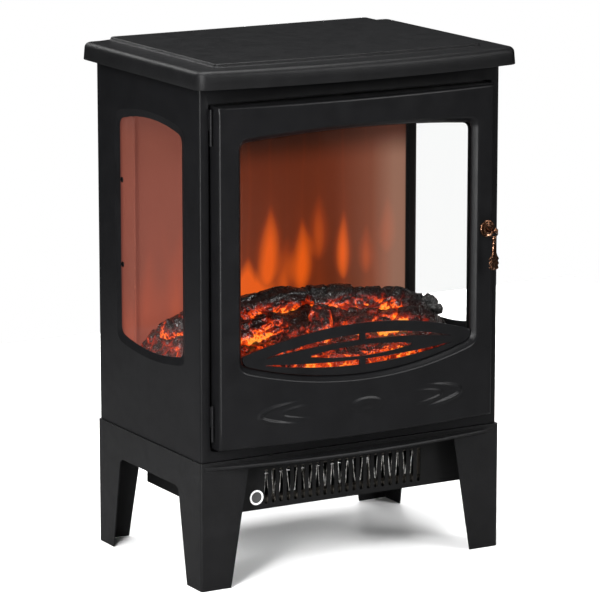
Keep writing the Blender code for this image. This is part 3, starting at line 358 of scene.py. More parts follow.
def flame_screen_material():
    """Back-lit sheet: a dull red-brown glow with soft orange flames, in a black border."""
    s = Shader("flame_screen_glow", SCREEN_BROWN, 0.55, slot="flame_screen_acrylic")
    s.set("Specular IOR Level", 0.08)
    x, _, z = s.axes()
    glow = s.ramp(flame_heat(s, x, z), (0.0, BLACK), (0.30, (0.10, 0.010, 0.0)),
                  (0.62, (0.34, 0.044, 0.0)), (1.0, (0.64, 0.080, 0.0)))
    across = s.math("MULTIPLY_ADD", x, 2.5, 0.5)
    base = s.ramp(across, (0.05, (0.165, 0.046, 0.034)), (0.325, (0.165, 0.046, 0.034)),
                  (0.390, (0.100, 0.0150, 0.0035)), (0.715, (0.105, 0.0170, 0.0042)),
                  (0.850, (0.140, 0.043, 0.022)), (0.930, (0.225, 0.118, 0.080)))
    # painted shade: the top of the sheet's glow is nearly dark, apart from its left end
    painted_top_shade = s.mix(span(s, x, -0.085, -0.055), (0.150, 0.043, 0.031), (0.012, 0.0030, 0.0012))
    shade = s.mix(span(s, z, 0.494, 0.452), painted_top_shade, base)
    # black border at the right and inside the right wing; the wings' outer faces are lit
    lit = s.math("MAXIMUM", fade(s, x, 0.1875, 0.1895), span(s, s.facing()[0], 0.4, 0.6))
    brown = s.math("MULTIPLY", lit, fade(s, z, 0.5, 0.56))
    s.wire(s.mix(lit, BLACK, s.mix(1.0, shade, glow, "ADD")), "Emission Color")
    s.wire(s.mix(brown, (0.010, 0.010, 0.010), SCREEN_BROWN), "Base Color")
    s.set("Emission Strength", 1.0)
    return s


SCREEN_GLOW = flame_screen_material()


CHUNK_SCALE = 42.0


def ember_material(name, base, reach, hot, slot, seed):
    """Glossy char over embers: black and glinting on top, glowing in the clefts and low down.

    reach is the height where the glow is full and the height where it ends.
    """
    s = Shader(name, base, 0.5, slot=slot)
    warp = s.noise(60.0, 3.0, 0.6, out="Color", vector=s.mapped(shift=(seed, seed * 0.7, 0.0)))
    bent = s.mix(0.040, s.mapped(shift=(seed, 0.0, seed)), warp, "ADD")
    clefts = s.voronoi(CHUNK_SCALE, "DISTANCE_TO_EDGE", bent)
    small = s.voronoi(CHUNK_SCALE * 2.5, "DISTANCE_TO_EDGE", bent)
    cloud = s.noise(34.0, 4.0, 0.6, vector=s.mapped(shift=(0.0, seed, 0.3)))
    patch = s.noise(15.0, 2.0, 0.5, vector=s.mapped(shift=(seed, 0.0, 0.0)))
    x, _, z = s.axes()
    # the glow fades with height, on top of a lump, in cool patches and towards the pile's ends
    mask = s.math("MULTIPLY", span(s, z, reach[1], reach[0]),
                  s.math("MULTIPLY_ADD", fade(s, s.facing()[2], 0.35, 0.95), 0.70, 0.30))
    mask = s.math("MULTIPLY", mask, s.math("MULTIPLY_ADD", span(s, patch, 0.34, 0.56), 0.75, 0.25))
    mask = s.math("MULTIPLY", mask, fade(s, x, 0.10, 0.165))
    mask = s.math("MULTIPLY", mask, s.math("MULTIPLY_ADD", span(s, x, -0.150, -0.075), 0.48, 0.52))
    vein = fade(s, clefts, 0.0, 0.12)
    halo = fade(s, clefts, 0.0, 0.42)
    hair = fade(s, small, 0.0, 0.09)
    chunk = span(s, s.voronoi(CHUNK_SCALE, "F1", bent, out="Color"), 0.42, 0.80)
    bodyglow = s.math("MULTIPLY", s.math("MULTIPLY_ADD", chunk, 0.60, 0.16),
                      s.math("MULTIPLY", s.math("POWER", cloud, 1.4), 1.7))
    heat = s.math("ADD", s.math("MULTIPLY", vein, 0.62), s.math("MULTIPLY", halo, 0.24))
    heat = s.math("MULTIPLY_ADD", hair, 0.14, heat)
    heat = s.math("MULTIPLY", s.math("ADD", heat, bodyglow), mask)
    heat = s.math("MULTIPLY", heat, hot)
    s.wire(s.ramp(heat, (0.0, BLACK), (0.10, (0.016, 0.0008, 0.0003)),
                  (0.34, (0.28, 0.012, 0.0012)), (0.66, (0.95, 0.085, 0.004)),
                  (1.0, (1.0, 0.33, 0.035))), "Emission Color")
    s.set("Emission Strength", 1.15)
    s.tinted(s.noise(240.0, 6.0, 0.7), base, (0.34, 0.30), (0.64, 1.0), (0.84, 3.0))
    s.wire(s.ramp(s.noise(330.0, 3.0), (0.35, 0.16), (0.65, 0.50)), "Roughness")
    grain = s.noise(190.0, 5.0, 0.65, vector=s.mapped(scale=(0.35, 1.0, 1.0)))
    s.bump(s.math("MULTIPLY_ADD", hair, -0.5, grain), 0.0013)
    return s


# ---------------------------------------------------------------- mesh helpers -----------
def add_object(node, bm, shaders, sharp=35.0, copied=False):
    """Turn a bmesh into a piece that rides on the node's body and stands for that node.

    copied says that the mesh came from the CAD, so it is in place and its faces point outwards.
    """
    if not copied:
        bmesh.ops.recalc_face_normals(bm, faces=bm.faces)
        bmesh.ops.translate(bm, verts=bm.verts, vec=OVERHANG)
    mesh = bpy.data.meshes.new("v_" + node)
    bm.to_mesh(mesh)
    bm.free()
    mesh.shade_smooth()
    mesh.set_sharp_from_angle(angle=math.radians(sharp))
    obj = bpy.data.objects.new("v_" + node, mesh)
    bpy.context.scene.collection.objects.link(obj)
    for shader in shaders:
        mesh.materials.append(shader.mat)
    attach(obj, NODES[node]["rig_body"])
    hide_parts(node)
    return obj


def roll_edges(obj, width, segments=2, angle=28.0):
    """Round the edges that turn by more than the angle."""
    mod = obj.modifiers.new("rolled edges", "BEVEL")
    mod.width = width
    mod.segments = segments
    mod.limit_method = "ANGLE"
    mod.angle_limit = math.radians(angle)
    mod.use_clamp_overlap = True
    mod.harden_normals = True


def welded(node, dissolve=0.6):
    """Copy of a CAD node's mesh with its triangles joined back into flat faces."""
    bm = bmesh.new()
    bm.from_mesh(NODES[node].data)
    bmesh.ops.remove_doubles(bm, verts=bm.verts, dist=0.000004)
    bmesh.ops.dissolve_limit(bm, angle_limit=math.radians(dissolve), verts=bm.verts, edges=bm.edges,
                             use_dissolve_boundaries=False)
    return bm


def refined(node, shader, width, segments=2):
    """The CAD piece again with rolled edges and smooth curved faces."""
    obj = add_object(node, welded(node), [shader], sharp=32.0, copied=True)
    if width:
        roll_edges(obj, width, segments)


def skin(bm, loops, ring=False):
    """Faces between equal loops; returns the rows of vertices."""
    rows = [[bm.verts.new(p) for p in loop] for loop in loops]
    pairs = list(zip(rows, rows[1:]))
    if ring:
        pairs.append((rows[-1], rows[0]))
    count = len(rows[0])
    for a, b in pairs:
        for i in range(count):
            j = (i + 1) % count
            bm.faces.new((a[i], a[j], b[j], b[i]))
    return rows


def cap(bm, row):
    bm.faces.new(row)


def stations(half, count):
    """Even places from -half to half."""
    return [half * (2 * i / (count - 1) - 1) for i in range(count)]


def arc_height(x, half, middle, end):
    """Height of a shallow arc with one height in the middle and another at its ends."""
    return end + (middle - end) * (1 - (x / half) ** 2)


def circle(count):
    """Cosine and sine of even steps round a circle."""
    turns = [2 * math.pi * k / count for k in range(count)]
    return [(math.cos(turn), math.sin(turn)) for turn in turns]


def corner(p0, p1, p2, steps):
    """Inner points of a rounded corner from p0 round p1 to p2."""
    out = []
    for k in range(1, steps):
        t = k / steps
        q = Vector(p0).lerp(Vector(p1), t).lerp(Vector(p1).lerp(Vector(p2), t), t)
        out.append((q.x, q.y))
    return out


def smooth_step(t):
    t = min(1.0, max(0.0, t))
    return t * t * (3 - 2 * t)


# ---------------------------------------------------------------- lid --------------------
lid_low, lid_high = box("top_lid")
LID_HALF = lid_high.x - 0.0008
LID_FRONT, LID_BACK = -0.150, lid_high.y - 0.0008
LID_BOW = 0.020
LID_TOP = lid_high.z
RIM_TOP = LID_TOP - 0.004
LID_SHEET = 0.0016
LID_ROUND, LID_ROUND_IN = 0.0070, 0.0056
PANEL_HALF, PANEL_FRONT, PANEL_BOW = 0.180, -0.125, 0.0085


def lid_plan(inset, half, front, rear, bulge, radius):
    """Outline with round corners and a bowed front, drawn in by the inset."""
    flat, turn = 61, 9
    hw, y0, y1 = half - inset, front + inset, rear - inset
    r = max(radius - inset, 0.002)
    edge = y0 - bulge * (1 - ((hw - r) / half) ** 2)
    pts = [(x, y0 - bulge * (1 - (x / half) ** 2)) for x in stations(hw - r, flat)]
    pts += corner((hw - r, edge), (hw, y0), (hw, y0 + r), turn)
    pts += [(hw, y0 + r), (hw, y1 - r)]
    pts += corner((hw, y1 - r), (hw, y1), (hw - r, y1), turn)
    pts += [(x, y1) for x in reversed(stations(hw - r, 5))]
    pts += corner((-hw + r, y1), (-hw, y1), (-hw, y1 - r), turn)
    pts += [(-hw, y1 - r), (-hw, y0 + r)]
    pts += corner((-hw, y0 + r), (-hw, y0), (-hw + r, edge), turn)
    return pts


def lid_loop(inset, z):
    return [(x, y, z) for x, y in lid_plan(inset, LID_HALF, LID_FRONT, LID_BACK, LID_BOW, 0.012)]


def panel_loop(inset, z):
    plan = lid_plan(inset, PANEL_HALF, PANEL_FRONT, LID_BACK - 0.004, PANEL_BOW, 0.006)
    return [(x, y, z) for x, y in plan]


bm = bmesh.new()
# under the panel and the rim, down inside the edge, out round it and back over to the panel
lid_loops = [panel_loop(0.0045, LID_TOP - LID_SHEET), panel_loop(0.0020, RIM_TOP - LID_SHEET),
             lid_loop(0.0085, RIM_TOP - LID_SHEET)]
for k in range(5):
    turn = math.pi / 2 * k / 4
    drop = LID_ROUND_IN * (1 - math.cos(turn))
    lid_loops.append(lid_loop(0.0082 - LID_ROUND_IN * math.sin(turn), RIM_TOP - LID_SHEET - drop))
lid_loops += [lid_loop(0.0012, lid_low.z + 0.0008), lid_loop(0.0008, lid_low.z + 0.0002),
              lid_loop(-0.0002, lid_low.z), lid_loop(-0.0007, lid_low.z + 0.0006)]
for k in range(9):
    turn = math.pi / 2 * k / 8
    drop = LID_ROUND * (1 - math.sin(turn))
    lid_loops.append(lid_loop(0.0004 + LID_ROUND * (1 - math.cos(turn)), RIM_TOP - drop))
lid_loops += [lid_loop(0.0090, RIM_TOP), lid_loop(0.0098, RIM_TOP)]
lid_loops += [panel_loop(-0.0022, RIM_TOP), panel_loop(-0.0008, RIM_TOP + 0.00015),
              panel_loop(0.0000, RIM_TOP + 0.0007), panel_loop(0.0008, LID_TOP - 0.0012),
              panel_loop(0.0014, LID_TOP - 0.0004), panel_loop(0.0024, LID_TOP - 0.00005),
              panel_loop(0.0034, LID_TOP)]
rows = skin(bm, lid_loops)
cap(bm, rows[-1])
cap(bm, list(reversed(rows[0])))
add_object("top_lid", bm, [TEXTURED], sharp=60)

# ---------------------------------------------------------------- door -------------------
door_low, door_high = box("door_panel")
DOOR_HALF = door_high.x
DOOR_Z0, DOOR_Z1 = door_low.z, door_high.z
DOOR_REAR = door_high.y
DOOR_BOW = 0.014
DOOR_FRONT = door_low.y + DOOR_BOW + 0.001
# window: half width, edge heights in the middle and at the ends, and corner radius
WIN = {"half": 0.162, "top": 0.543, "top_end": 0.5345, "bot": 0.2385, "bot_end": 0.262, "r": 0.012}
SHEET = 0.0015
DOOR_ROUND = 0.0034
# points along the window's top or bottom, and steps round each corner and down each side
DETAIL = (201, 10, 60)
FACE_RINGS = 60


def bow(x):
    """How far the door stands forward of its two sides."""
    return -DOOR_BOW * (1 - (x / DOOR_HALF) ** 2)


def barrel(inset, win, arc, turn, side):
    """Barrel outline with a tag per point, so that another outline can be matched to it."""
    half, r = win["half"] - inset, win["r"] - inset / 2
    top, top_end = win["top"] - inset, win["top_end"] - inset
    bot, bot_end = win["bot"] + inset, win["bot_end"] + inset
    flat = half - r
    pts, tags = [], []

    def extend(points, names):
        pts.extend(points)
        tags.extend(names)

    def upright(x, z0, z1, name):
        extend([(x, z0 + (z1 - z0) * k / side) for k in range(side + 1)], [(name, None)] * (side + 1))

    def turn_corner(start, apex, finish, name):
        extend(corner(start, apex, finish, turn), [(name, k / turn) for k in range(1, turn)])

    hi, lo = top_end - r, bot_end + r
    xs = stations(flat, arc)
    extend([(x, arc_height(x, half, top, top_end)) for x in xs], [("top", None)] * arc)
    turn_corner(pts[-1], (half, top_end), (half, hi), "top_right")
    upright(half, hi, lo, "right")
    low_edge = arc_height(flat, half, bot, bot_end)
    turn_corner((half, lo), (half, bot_end), (flat, low_edge), "bottom_right")
    extend([(x, arc_height(x, half, bot, bot_end)) for x in reversed(xs)], [("bottom", None)] * arc)
    turn_corner((-flat, low_edge), (-half, bot_end), (-half, lo), "bottom_left")
    upright(-half, lo, hi, "left")
    turn_corner((-half, hi), (-half, top_end), pts[0], "top_left")
    return pts, tags


def matched_rectangle(inset, win, detail):
    """Door outline with one point for each point of the window outline."""
    half, z0, z1 = DOOR_HALF - inset, DOOR_Z0 + inset, DOOR_Z1 - inset
    flat = win["half"] - win["r"]
    out = []
    for (x, z), (part, t) in zip(*barrel(0.0, win, *detail)):
        if part in ("top", "bottom"):
            out.append((x, z1 if part == "top" else z0))
        elif part in ("left", "right"):
            out.append((math.copysign(half, x), z))
        else:
            top = part.startswith("top")
            level = z1 if top else z0
            post = win["top_end"] - win["r"] if top else win["bot_end"] + win["r"]
            along = t if part in ("top_right", "bottom_left") else 1 - t
            side = 1 if part.endswith("right") else -1
            if along <= 0.5:
                out.append((side * (flat + (half - flat) * along * 2), level))
            else:
                out.append((side * half, level + (post - level) * (along - 0.5) * 2))
    return out


RELIEF_Z = 0.207
# half length, half height, where it starts, half thickness and height of each pair of crescents
CRESCENTS = ((0.137, 0.0172, 0.078, 0.0040, 0.0020), (0.109, 0.0110, 0.064, 0.0030, 0.0011))
OVAL_X, OVAL_HALF, OVAL_TALL = 0.003, 0.0245, 0.0100


def ridge(x, z):
    """Height of the pressed pattern: two nested crescent pairs and a middle oval."""
    rise = 0.0
    for tip, tall, start, thick, height in CRESCENTS:
        if abs(x) > start * 0.8:
            around = math.hypot(x / tip, (z - RELIEF_Z) / tall)
            slope = math.hypot(x / tip ** 2, (z - RELIEF_Z) / tall ** 2) / max(around, 1e-6)
            fade = smooth_step((abs(x) - start) / (tip - start) * 1.25)
            off = abs(around - 1) / slope / (thick * (0.35 + 0.65 * fade))
            rise += height * fade * (1 - smooth_step(off))
    around = math.hypot((x - OVAL_X) / OVAL_HALF, (z - RELIEF_Z) / OVAL_TALL)
    rise += 0.0013 * (1 - smooth_step((around - 0.70) / 0.30))
    return rise - 0.0008 * (1 - smooth_step(around / 0.75))


def door_loop(outline, y, bulge=True, relief=False):
    """Outline as a loop of the door at a depth, bowed and pressed where asked."""
    return [(x, y + (bow(x) if bulge else 0.0) - (ridge(x, z) if relief else 0.0), z) for x, z in outline]


bm = bmesh.new()
outer = matched_rectangle(0.0, WIN, DETAIL)
door_loops = [door_loop(outer, DOOR_REAR, bulge=False), door_loop(outer, DOOR_FRONT + DOOR_ROUND)]
for k in range(1, 7):
    turn = math.pi / 2 * k / 6
    rounded = matched_rectangle(DOOR_ROUND * (1 - math.cos(turn)), WIN, DETAIL)
    door_loops.append(door_loop(rounded, DOOR_FRONT + DOOR_ROUND * (1 - math.sin(turn))))
inner_edge, _ = barrel(-0.0022, WIN, *DETAIL)
frame_edge = matched_rectangle(DOOR_ROUND, WIN, DETAIL)
for k in range(1, FACE_RINGS + 1):
    t = k / FACE_RINGS
    mid = [(a[0] + (b[0] - a[0]) * t, a[1] + (b[1] - a[1]) * t) for a, b in zip(frame_edge, inner_edge)]
    door_loops.append(door_loop(mid, DOOR_FRONT, relief=True))
# the window's sloped rim, as inset and depth, and back behind it
for inset, depth in ((-0.0012, 0.00008), (-0.0003, 0.0004), (0.0006, 0.0013), (0.0046, 0.0066),
                     (0.0052, 0.0076), (0.0055, 0.0084), (0.0055, 0.0093), (0.0051, 0.0093),
                     (-0.0010, SHEET)):
    door_loops.append(door_loop(barrel(inset, WIN, *DETAIL)[0], DOOR_FRONT + depth))
inside = matched_rectangle(SHEET, WIN, DETAIL)
door_loops += [door_loop(matched_rectangle(0.0038, WIN, DETAIL), DOOR_FRONT + SHEET),
               door_loop(inside, DOOR_FRONT + 0.0040), door_loop(inside, DOOR_REAR, bulge=False)]
skin(bm, door_loops, ring=True)
add_object("door_panel", bm, [SATIN], sharp=50)

# ---------------------------------------------------------------- panes ------------------
glass_low, glass_high = box("door_glass")
PANE_HALF = glass_high.x
PANE_Y = glass_low.y + DOOR_BOW
PANE_LAP = 0.0015
PANE_T = 0.003


def pane_edge(x, edge, out):
    """Height of the pane's top (out 1) or bottom (out -1), past the window's edge, with eased corners."""
    fall = max(0.0, abs(x) / PANE_HALF - 0.96) / 0.04
    lap = PANE_LAP * out
    return arc_height(x, PANE_HALF, WIN[edge] + lap, WIN[edge + "_end"] + lap) - out * 0.006 * fall ** 2


bm = bmesh.new()
pane_loops = []
for x in stations(PANE_HALF, 81):
    front, lo, hi = PANE_Y + bow(x), pane_edge(x, "bot", -1), pane_edge(x, "top", 1)
    pane_loops.append([(x, front, lo), (x, front + PANE_T, lo), (x, front + PANE_T, hi), (x, front, hi)])
rows = skin(bm, pane_loops)
cap(bm, rows[0])
cap(bm, rows[-1])
add_object("door_glass", bm, [DOOR_GLASS])
for side in ("left", "right"):
    refined("side_glass_" + side, SIDE_GLASS, 0.0004)

# ---------------------------------------------------------------- fret -------------------
FRET_HALF = WIN["half"] - 0.0062
FRET_Y = DOOR_FRONT + 0.0052
FRET_T = 0.0026
# how far the crescents' tips reach, half width of the middle bar, half length of the eye
TIP, BAR, EYE = 0.1280, 0.0038, 0.0690


def fret_outline():
    """Lens with the window's own lower corners."""
    rim, tags = barrel(0.0061, WIN, 81, 8, 2)
    low = [p for p, (part, _) in zip(rim, tags) if part.startswith("bottom")]
    ends = [p for p in low if p[1] < 0.2790]
    top = [(x, arc_height(x, FRET_HALF, 0.3045, 0.2785)) for x in stations(FRET_HALF - 0.0004, 61)]
    return top + ends


def crescent(side, low, high):
    """Hole at one side of the bar, between two arcs that meet at its tip."""
    xs = [side * (BAR + (TIP - BAR) * k / 22) for k in range(23)]
    return [(x, low(x)) for x in xs] + [(x, high(x)) for x in reversed(xs[:-1])]


def arc_of(half, middle, end):
    return lambda x: arc_height(x, half, middle, end)


fret_holes = []
for side in (-1, 1):
    fret_holes.append(crescent(side, arc_of(TIP, 0.2845, 0.2738), arc_of(TIP, 0.2918, 0.2745)))
    fret_holes.append(crescent(side, arc_of(TIP, 0.2545, 0.2660), arc_of(TIP, 0.2612, 0.2668)))
eye_low, eye_high = arc_of(EYE, 0.2648, 0.2704), arc_of(EYE, 0.2785, 0.2726)
eye_xs = stations(EYE, 41)
fret_holes.append([(x, eye_low(x)) for x in eye_xs] + [(x, eye_high(x)) for x in reversed(eye_xs)])


def plate_with_holes(outline, holes):
    """Flat XZ plate as a bmesh: outline and holes filled with triangles."""
    bm = bmesh.new()
    edges = []
    for ring in [outline] + holes:
        row = [bm.verts.new((x, 0.0, z)) for x, z in ring]
        edges += [bm.edges.new((a, row[(i + 1) % len(row)])) for i, a in enumerate(row)]
    bmesh.ops.triangle_fill(bm, edges=edges, use_beauty=True)
    bmesh.ops.remove_doubles(bm, verts=bm.verts, dist=0.00001)
    return bm


def slice_across(bm, half, step):
    """Cut the mesh at even stations across X so that it can follow a bow."""
    count = int(half / step)
    for k in range(-count, count + 1):
        geom = bm.verts[:] + bm.edges[:] + bm.faces[:]
        bmesh.ops.bisect_plane(bm, geom=geom, plane_co=(k * step + 0.0003, 0, 0), plane_no=(1, 0, 0))


bm = plate_with_holes(fret_outline(), fret_holes)
slice_across(bm, FRET_HALF, 0.006)
made = bmesh.ops.extrude_face_region(bm, geom=bm.faces[:])
moved = [g for g in made["geom"] if isinstance(g, bmesh.types.BMVert)]
bmesh.ops.translate(bm, verts=moved, vec=(0, FRET_T, 0))
for v in bm.verts:
    v.co.y += FRET_Y + bow(v.co.x)
roll_edges(add_object("door_fret", bm, [SATIN]), 0.0007, 3, 40)

# ---------------------------------------------------------------- pieces with their CAD shape
# node, material, width of its rolled edges (0 for none), and steps across them
KEPT_PIECES = (
    ("base_frame", TEXTURED, 0.0009, 3), ("cabinet_shell", SATIN, 0.0006, 3),
    ("back_panel", SATIN, 0.0003, 2), ("vent_panel", INNER, 0.0002, 2), ("heater_box", INNER, 0.0004, 2),
    ("floor_plate", INNER, 0.0002, 1), ("deck_plate", INNER, 0.0002, 1),
    ("control_panel", INNER, 0.0003, 2), ("door_glass_retainer", INNER, 0.0002, 1),
    ("fan_wheel", INNER, 0.0, 0), ("fan_scroll", ZINC, 0.0002, 1), ("fan_motor", ZINC, 0.0006, 2),
    ("spindle_bracket", ZINC, 0.0003, 2), ("spindle_motor", ZINC, 0.0006, 2),
    ("hinge_leaf_upper", SATIN, 0.0002, 2), ("hinge_leaf_lower", SATIN, 0.0002, 2),
    ("hinge_ear_upper", SATIN, 0.0002, 2), ("hinge_ear_lower", SATIN, 0.0002, 2),
    ("strike_plate", ZINC, 0.0004, 2), ("flame_spindle", FOIL, 0.0, 0),
    ("magnet_catch", PLASTIC, 0.0008, 3), ("switch_bank", PLASTIC, 0.0006, 3),
    ("rocker_1", PLASTIC, 0.0008, 3), ("rocker_2", PLASTIC, 0.0008, 3), ("rocker_3", PLASTIC, 0.0008, 3),
    ("thermostat_knob", PLASTIC, 0.0006, 3), ("thermostat_body", PLASTIC, 0.0008, 3),
    ("terminal_block", PLASTIC, 0.0010, 3), ("cord_gland", PLASTIC, 0.0006, 3),
    ("thermal_cutout", PLASTIC, 0.0005, 2), ("element_frame", MICA, 0.0003, 1),
    ("led_board_bed", BOARD, 0.0002, 1), ("led_board_rear", BOARD, 0.0002, 1),
    ("flame_screen", SCREEN_GLOW, 0.0003, 1),
)
for node, shader, width, segments in KEPT_PIECES:
    refined(node, shader, width, segments)


# ---------------------------------------------------------------- screws -----------------
SCREW_R = 0.0034
# dome of the head: shares of its radius and height
SCREW_DOME = ((0.90, 0.0), (1.0, 0.12), (1.0, 0.30), (0.93, 0.52), (0.78, 0.76), (0.55, 0.93), (0.34, 1.0))


def pan_screw(node, axis, sign, shader, height=0.0021):
    """Pan-head screw with a cross recess."""
    low, high = box(node)
    centre = (low + high) / 2
    seat = low if sign > 0 else high
    bm = bmesh.new()
    ring = circle(32)
    loops = [[(SCREW_R * r * c, SCREW_R * r * s, height * h) for c, s in ring] for r, h in SCREW_DOME]
    recess = []
    for c, s in ring:
        arm = abs(c * c - s * s) ** 3
        reach = SCREW_R * (0.10 + 0.20 * arm)
        recess.append((reach * c, reach * s, height))
    floor_ring = [(x * 0.80, y * 0.80, height * 0.35) for x, y, _ in recess]
    rows = skin(bm, loops + [recess, floor_ring])
    cap(bm, rows[-1])
    cap(bm, rows[0])
    if axis == "Y":
        turn_to = Matrix.Rotation(-math.pi / 2 * sign, 4, "X")
    else:
        turn_to = Matrix.Rotation(math.pi / 2 * sign, 4, "Y")
    spin = Matrix.Rotation(0.4 + 9 * centre.z, 4, "Z")
    place = Vector(centre)
    if axis == "Y":
        place.y = seat.y
    else:
        place.x = seat.x
    bmesh.ops.transform(bm, verts=bm.verts, matrix=Matrix.Translation(place) @ turn_to @ spin)
    add_object(node, bm, [shader], sharp=40)


for index in range(1, 5):
    pan_screw("back_screw_%d" % index, "Y", 1, ZINC)
for index in (1, 2):
    pan_screw("screen_screw_left_%d" % index, "X", -1, INNER, height=0.0012)
    pan_screw("screen_screw_right_%d" % index, "X", 1, INNER, height=0.0012)

# ---------------------------------------------------------------- heater wires -----------
wire_low, wire_high = box("element_wire")
WIRE_Y = (wire_low.y + wire_high.y) / 2
WIRE_PITCH = 0.0035
WIRE_R = 0.00042


def tube(bm, path, radius, sides=6, closed=False):
    """Round tube along a path of points."""
    loops = []
    count = len(path)
    normal = Vector((0, 1, 0))
    for i, p in enumerate(path):
        before = path[i - 1] if (i or closed) else path[0]
        after = path[(i + 1) % count] if (i < count - 1 or closed) else path[-1]
        along = (after - before).normalized()
        side = along.cross(normal)
        if side.length < 0.2:
            side = along.cross(Vector((1, 0, 0)))
        side.normalize()
        up = side.cross(along).normalized()
        loops.append([p + radius * (c * side + s * up) for c, s in circle(sides)])
    rows = skin(bm, loops, ring=closed)
    if not closed:
        cap(bm, rows[0])
        cap(bm, rows[-1])


half = wire_high.x - 0.0006
bm = bmesh.new()
path = []
turns = int(2 * half / WIRE_PITCH)
low_z, high_z = wire_low.z + 0.0022, wire_high.z - 0.0022
for i in range(turns + 1):
    x = -half + i * WIRE_PITCH
    z_from, z_to = (low_z, high_z) if i % 2 == 0 else (high_z, low_z)
    for k in range(5):
        t = k / 4
        bend = 0.35 * WIRE_PITCH * (2 * t - 1)
        waver = 0.0003 * math.sin(i * 2.4 + 3 * t)
        path.append(Vector((x + bend, WIRE_Y + waver, z_from + (z_to - z_from) * t)))
tube(bm, path, WIRE_R)
add_object("element_wire", bm, [WIRE], sharp=60)

# ---------------------------------------------------------------- badge ------------------
badge_low, badge_high = box("vent_badge")
badge_mid = (badge_low + badge_high) / 2
bm = bmesh.new()


def disc_loop(radius, y):
    return [(badge_mid.x + radius * c, y, badge_mid.z + radius * s) for c, s in circle(48)]


y0, y1 = badge_high.y, badge_low.y
rows = skin(bm, [disc_loop(0.0086, y0), disc_loop(0.0090, y0 - 0.0003), disc_loop(0.0090, y1 + 0.0002),
                 disc_loop(0.0088, y1), disc_loop(0.0070, y1), disc_loop(0.0068, y1 + 0.00025)])
cap(bm, rows[0])
dark_face = bm.faces.new(rows[-1])
dark_face.material_index = 1
add_object("vent_badge", bm, [BADGE_WHITE, BADGE_DARK], sharp=30)

# ---------------------------------------------------------------- handle -----------------
rosette_low, rosette_high = box("handle_rosette")
HANDLE = (rosette_low + rosette_high) / 2
ROSETTE_Y = rosette_high.y


def turned(node, profile, count, bored=False):
    """Turned copper piece on the handle's axis: profile is (radius, height out of the door)."""
    bm = bmesh.new()
    loops = [[(HANDLE.x + r * c, ROSETTE_Y - h, HANDLE.z + r * s) for c, s in circle(count)]
             for r, h in profile]
    rows = skin(bm, loops, ring=bored)
    if not bored:
        cap(bm, rows[0])
        cap(bm, rows[-1])
    add_object(node, bm, [COPPER], sharp=50)


ROSETTE = [(0.0023, 0.0), (0.0100, 0.0), (0.0104, 0.0005), (0.01045, 0.0011), (0.0101, 0.0017),
           (0.0094, 0.0022), (0.0087, 0.0024), (0.0080, 0.0022), (0.0074, 0.0019), (0.0067, 0.0019),
           (0.0060, 0.0023), (0.0053, 0.0029), (0.0046, 0.0033), (0.0038, 0.0034), (0.0023, 0.0034)]
POST = [(0.0020, 0.0), (0.0020, 0.0036), (0.0036, 0.0037), (0.0042, 0.0046), (0.0043, 0.0058),
        (0.0041, 0.0070), (0.0034, 0.0084), (0.0029, 0.0100), (0.0028, 0.0116), (0.0030, 0.0128),
        (0.0034, 0.0144), (0.0036, 0.0160), (0.0035, 0.0176), (0.0031, 0.0192), (0.0024, 0.0204),
        (0.0014, 0.0212), (0.0004, 0.0215)]
turned("handle_rosette", ROSETTE, 64, bored=True)
turned("handle_post", POST, 40)

AXIS_Y = [j for j in frame["joints"] if j["name"] == "handle_swing"][0]["pos_m"][1] - OVERHANG.y
EYE_Z = 0.3990
# the ring that hangs on the post
BAIL_HALF, BAIL_TALL, BAIL_DROP, BAIL_R = 0.0046, 0.0037, 0.0029, 0.00080
bm = bmesh.new()
bail = [Vector((HANDLE.x + BAIL_HALF * c, AXIS_Y, EYE_Z - BAIL_DROP + BAIL_TALL * s)) for c, s in circle(28)]
tube(bm, bail, BAIL_R, sides=10, closed=True)
# stem and flared, fluted end: (width, thickness, drop, flute depth)
STEM = [(0.0012, 0.0012, 0.0, 0.0), (0.0024, 0.0018, -0.0008, 0.0), (0.0030, 0.0021, -0.0022, 0.0),
        (0.0028, 0.0020, -0.0036, 0.0), (0.0020, 0.0016, -0.0050, 0.0), (0.0022, 0.0017, -0.0062, 0.0),
        (0.0024, 0.0018, -0.0090, 0.0), (0.0025, 0.0018, -0.0130, 0.02), (0.0028, 0.0019, -0.0170, 0.06),
        (0.0034, 0.0020, -0.0200, 0.10), (0.0043, 0.0021, -0.0228, 0.14), (0.0056, 0.0022, -0.0252, 0.17),
        (0.0067, 0.0021, -0.0268, 0.19), (0.0058, 0.0021, -0.0282, 0.19), (0.0054, 0.0021, -0.0296, 0.19),
        (0.0062, 0.0022, -0.0312, 0.20), (0.0068, 0.0021, -0.0326, 0.20), (0.0057, 0.0021, -0.0340, 0.20),
        (0.0053, 0.0021, -0.0354, 0.20), (0.0059, 0.0021, -0.0370, 0.20), (0.0061, 0.0020, -0.0384, 0.18),
        (0.0050, 0.0017, -0.0396, 0.14), (0.0026, 0.0011, -0.0402, 0.08)]
loops = []
hang = EYE_Z - 0.0066
for rx, ry, dz, flute in STEM:
    loop = []
    for k in range(48):
        turn = 2 * math.pi * k / 48
        groove = 1 - flute * (0.5 + 0.5 * math.cos(turn * 10))
        loop.append((HANDLE.x + rx * math.cos(turn) * (1 - 0.3 * flute * math.cos(turn * 10)),
                     AXIS_Y + ry * math.sin(turn) * groove, hang + dz))
    loops.append(loop)
rows = skin(bm, loops)
cap(bm, rows[0])
cap(bm, rows[-1])
add_object("handle_pendant", bm, [COPPER], sharp=55)

# ---------------------------------------------------------------- logs and embers --------
# seed of each log's chunks, how hot it is, and how far up its side the glow climbs
LOG_LOOKS = {"log_rear_left": (1.3, 1.45, 0.90), "log_rear_right": (2.9, 1.60, 0.92),
             "log_front_left": (4.1, 1.45, 1.30), "log_middle": (5.7, 1.55, 1.30),
             "log_front_right": (7.2, 1.75, 1.45)}


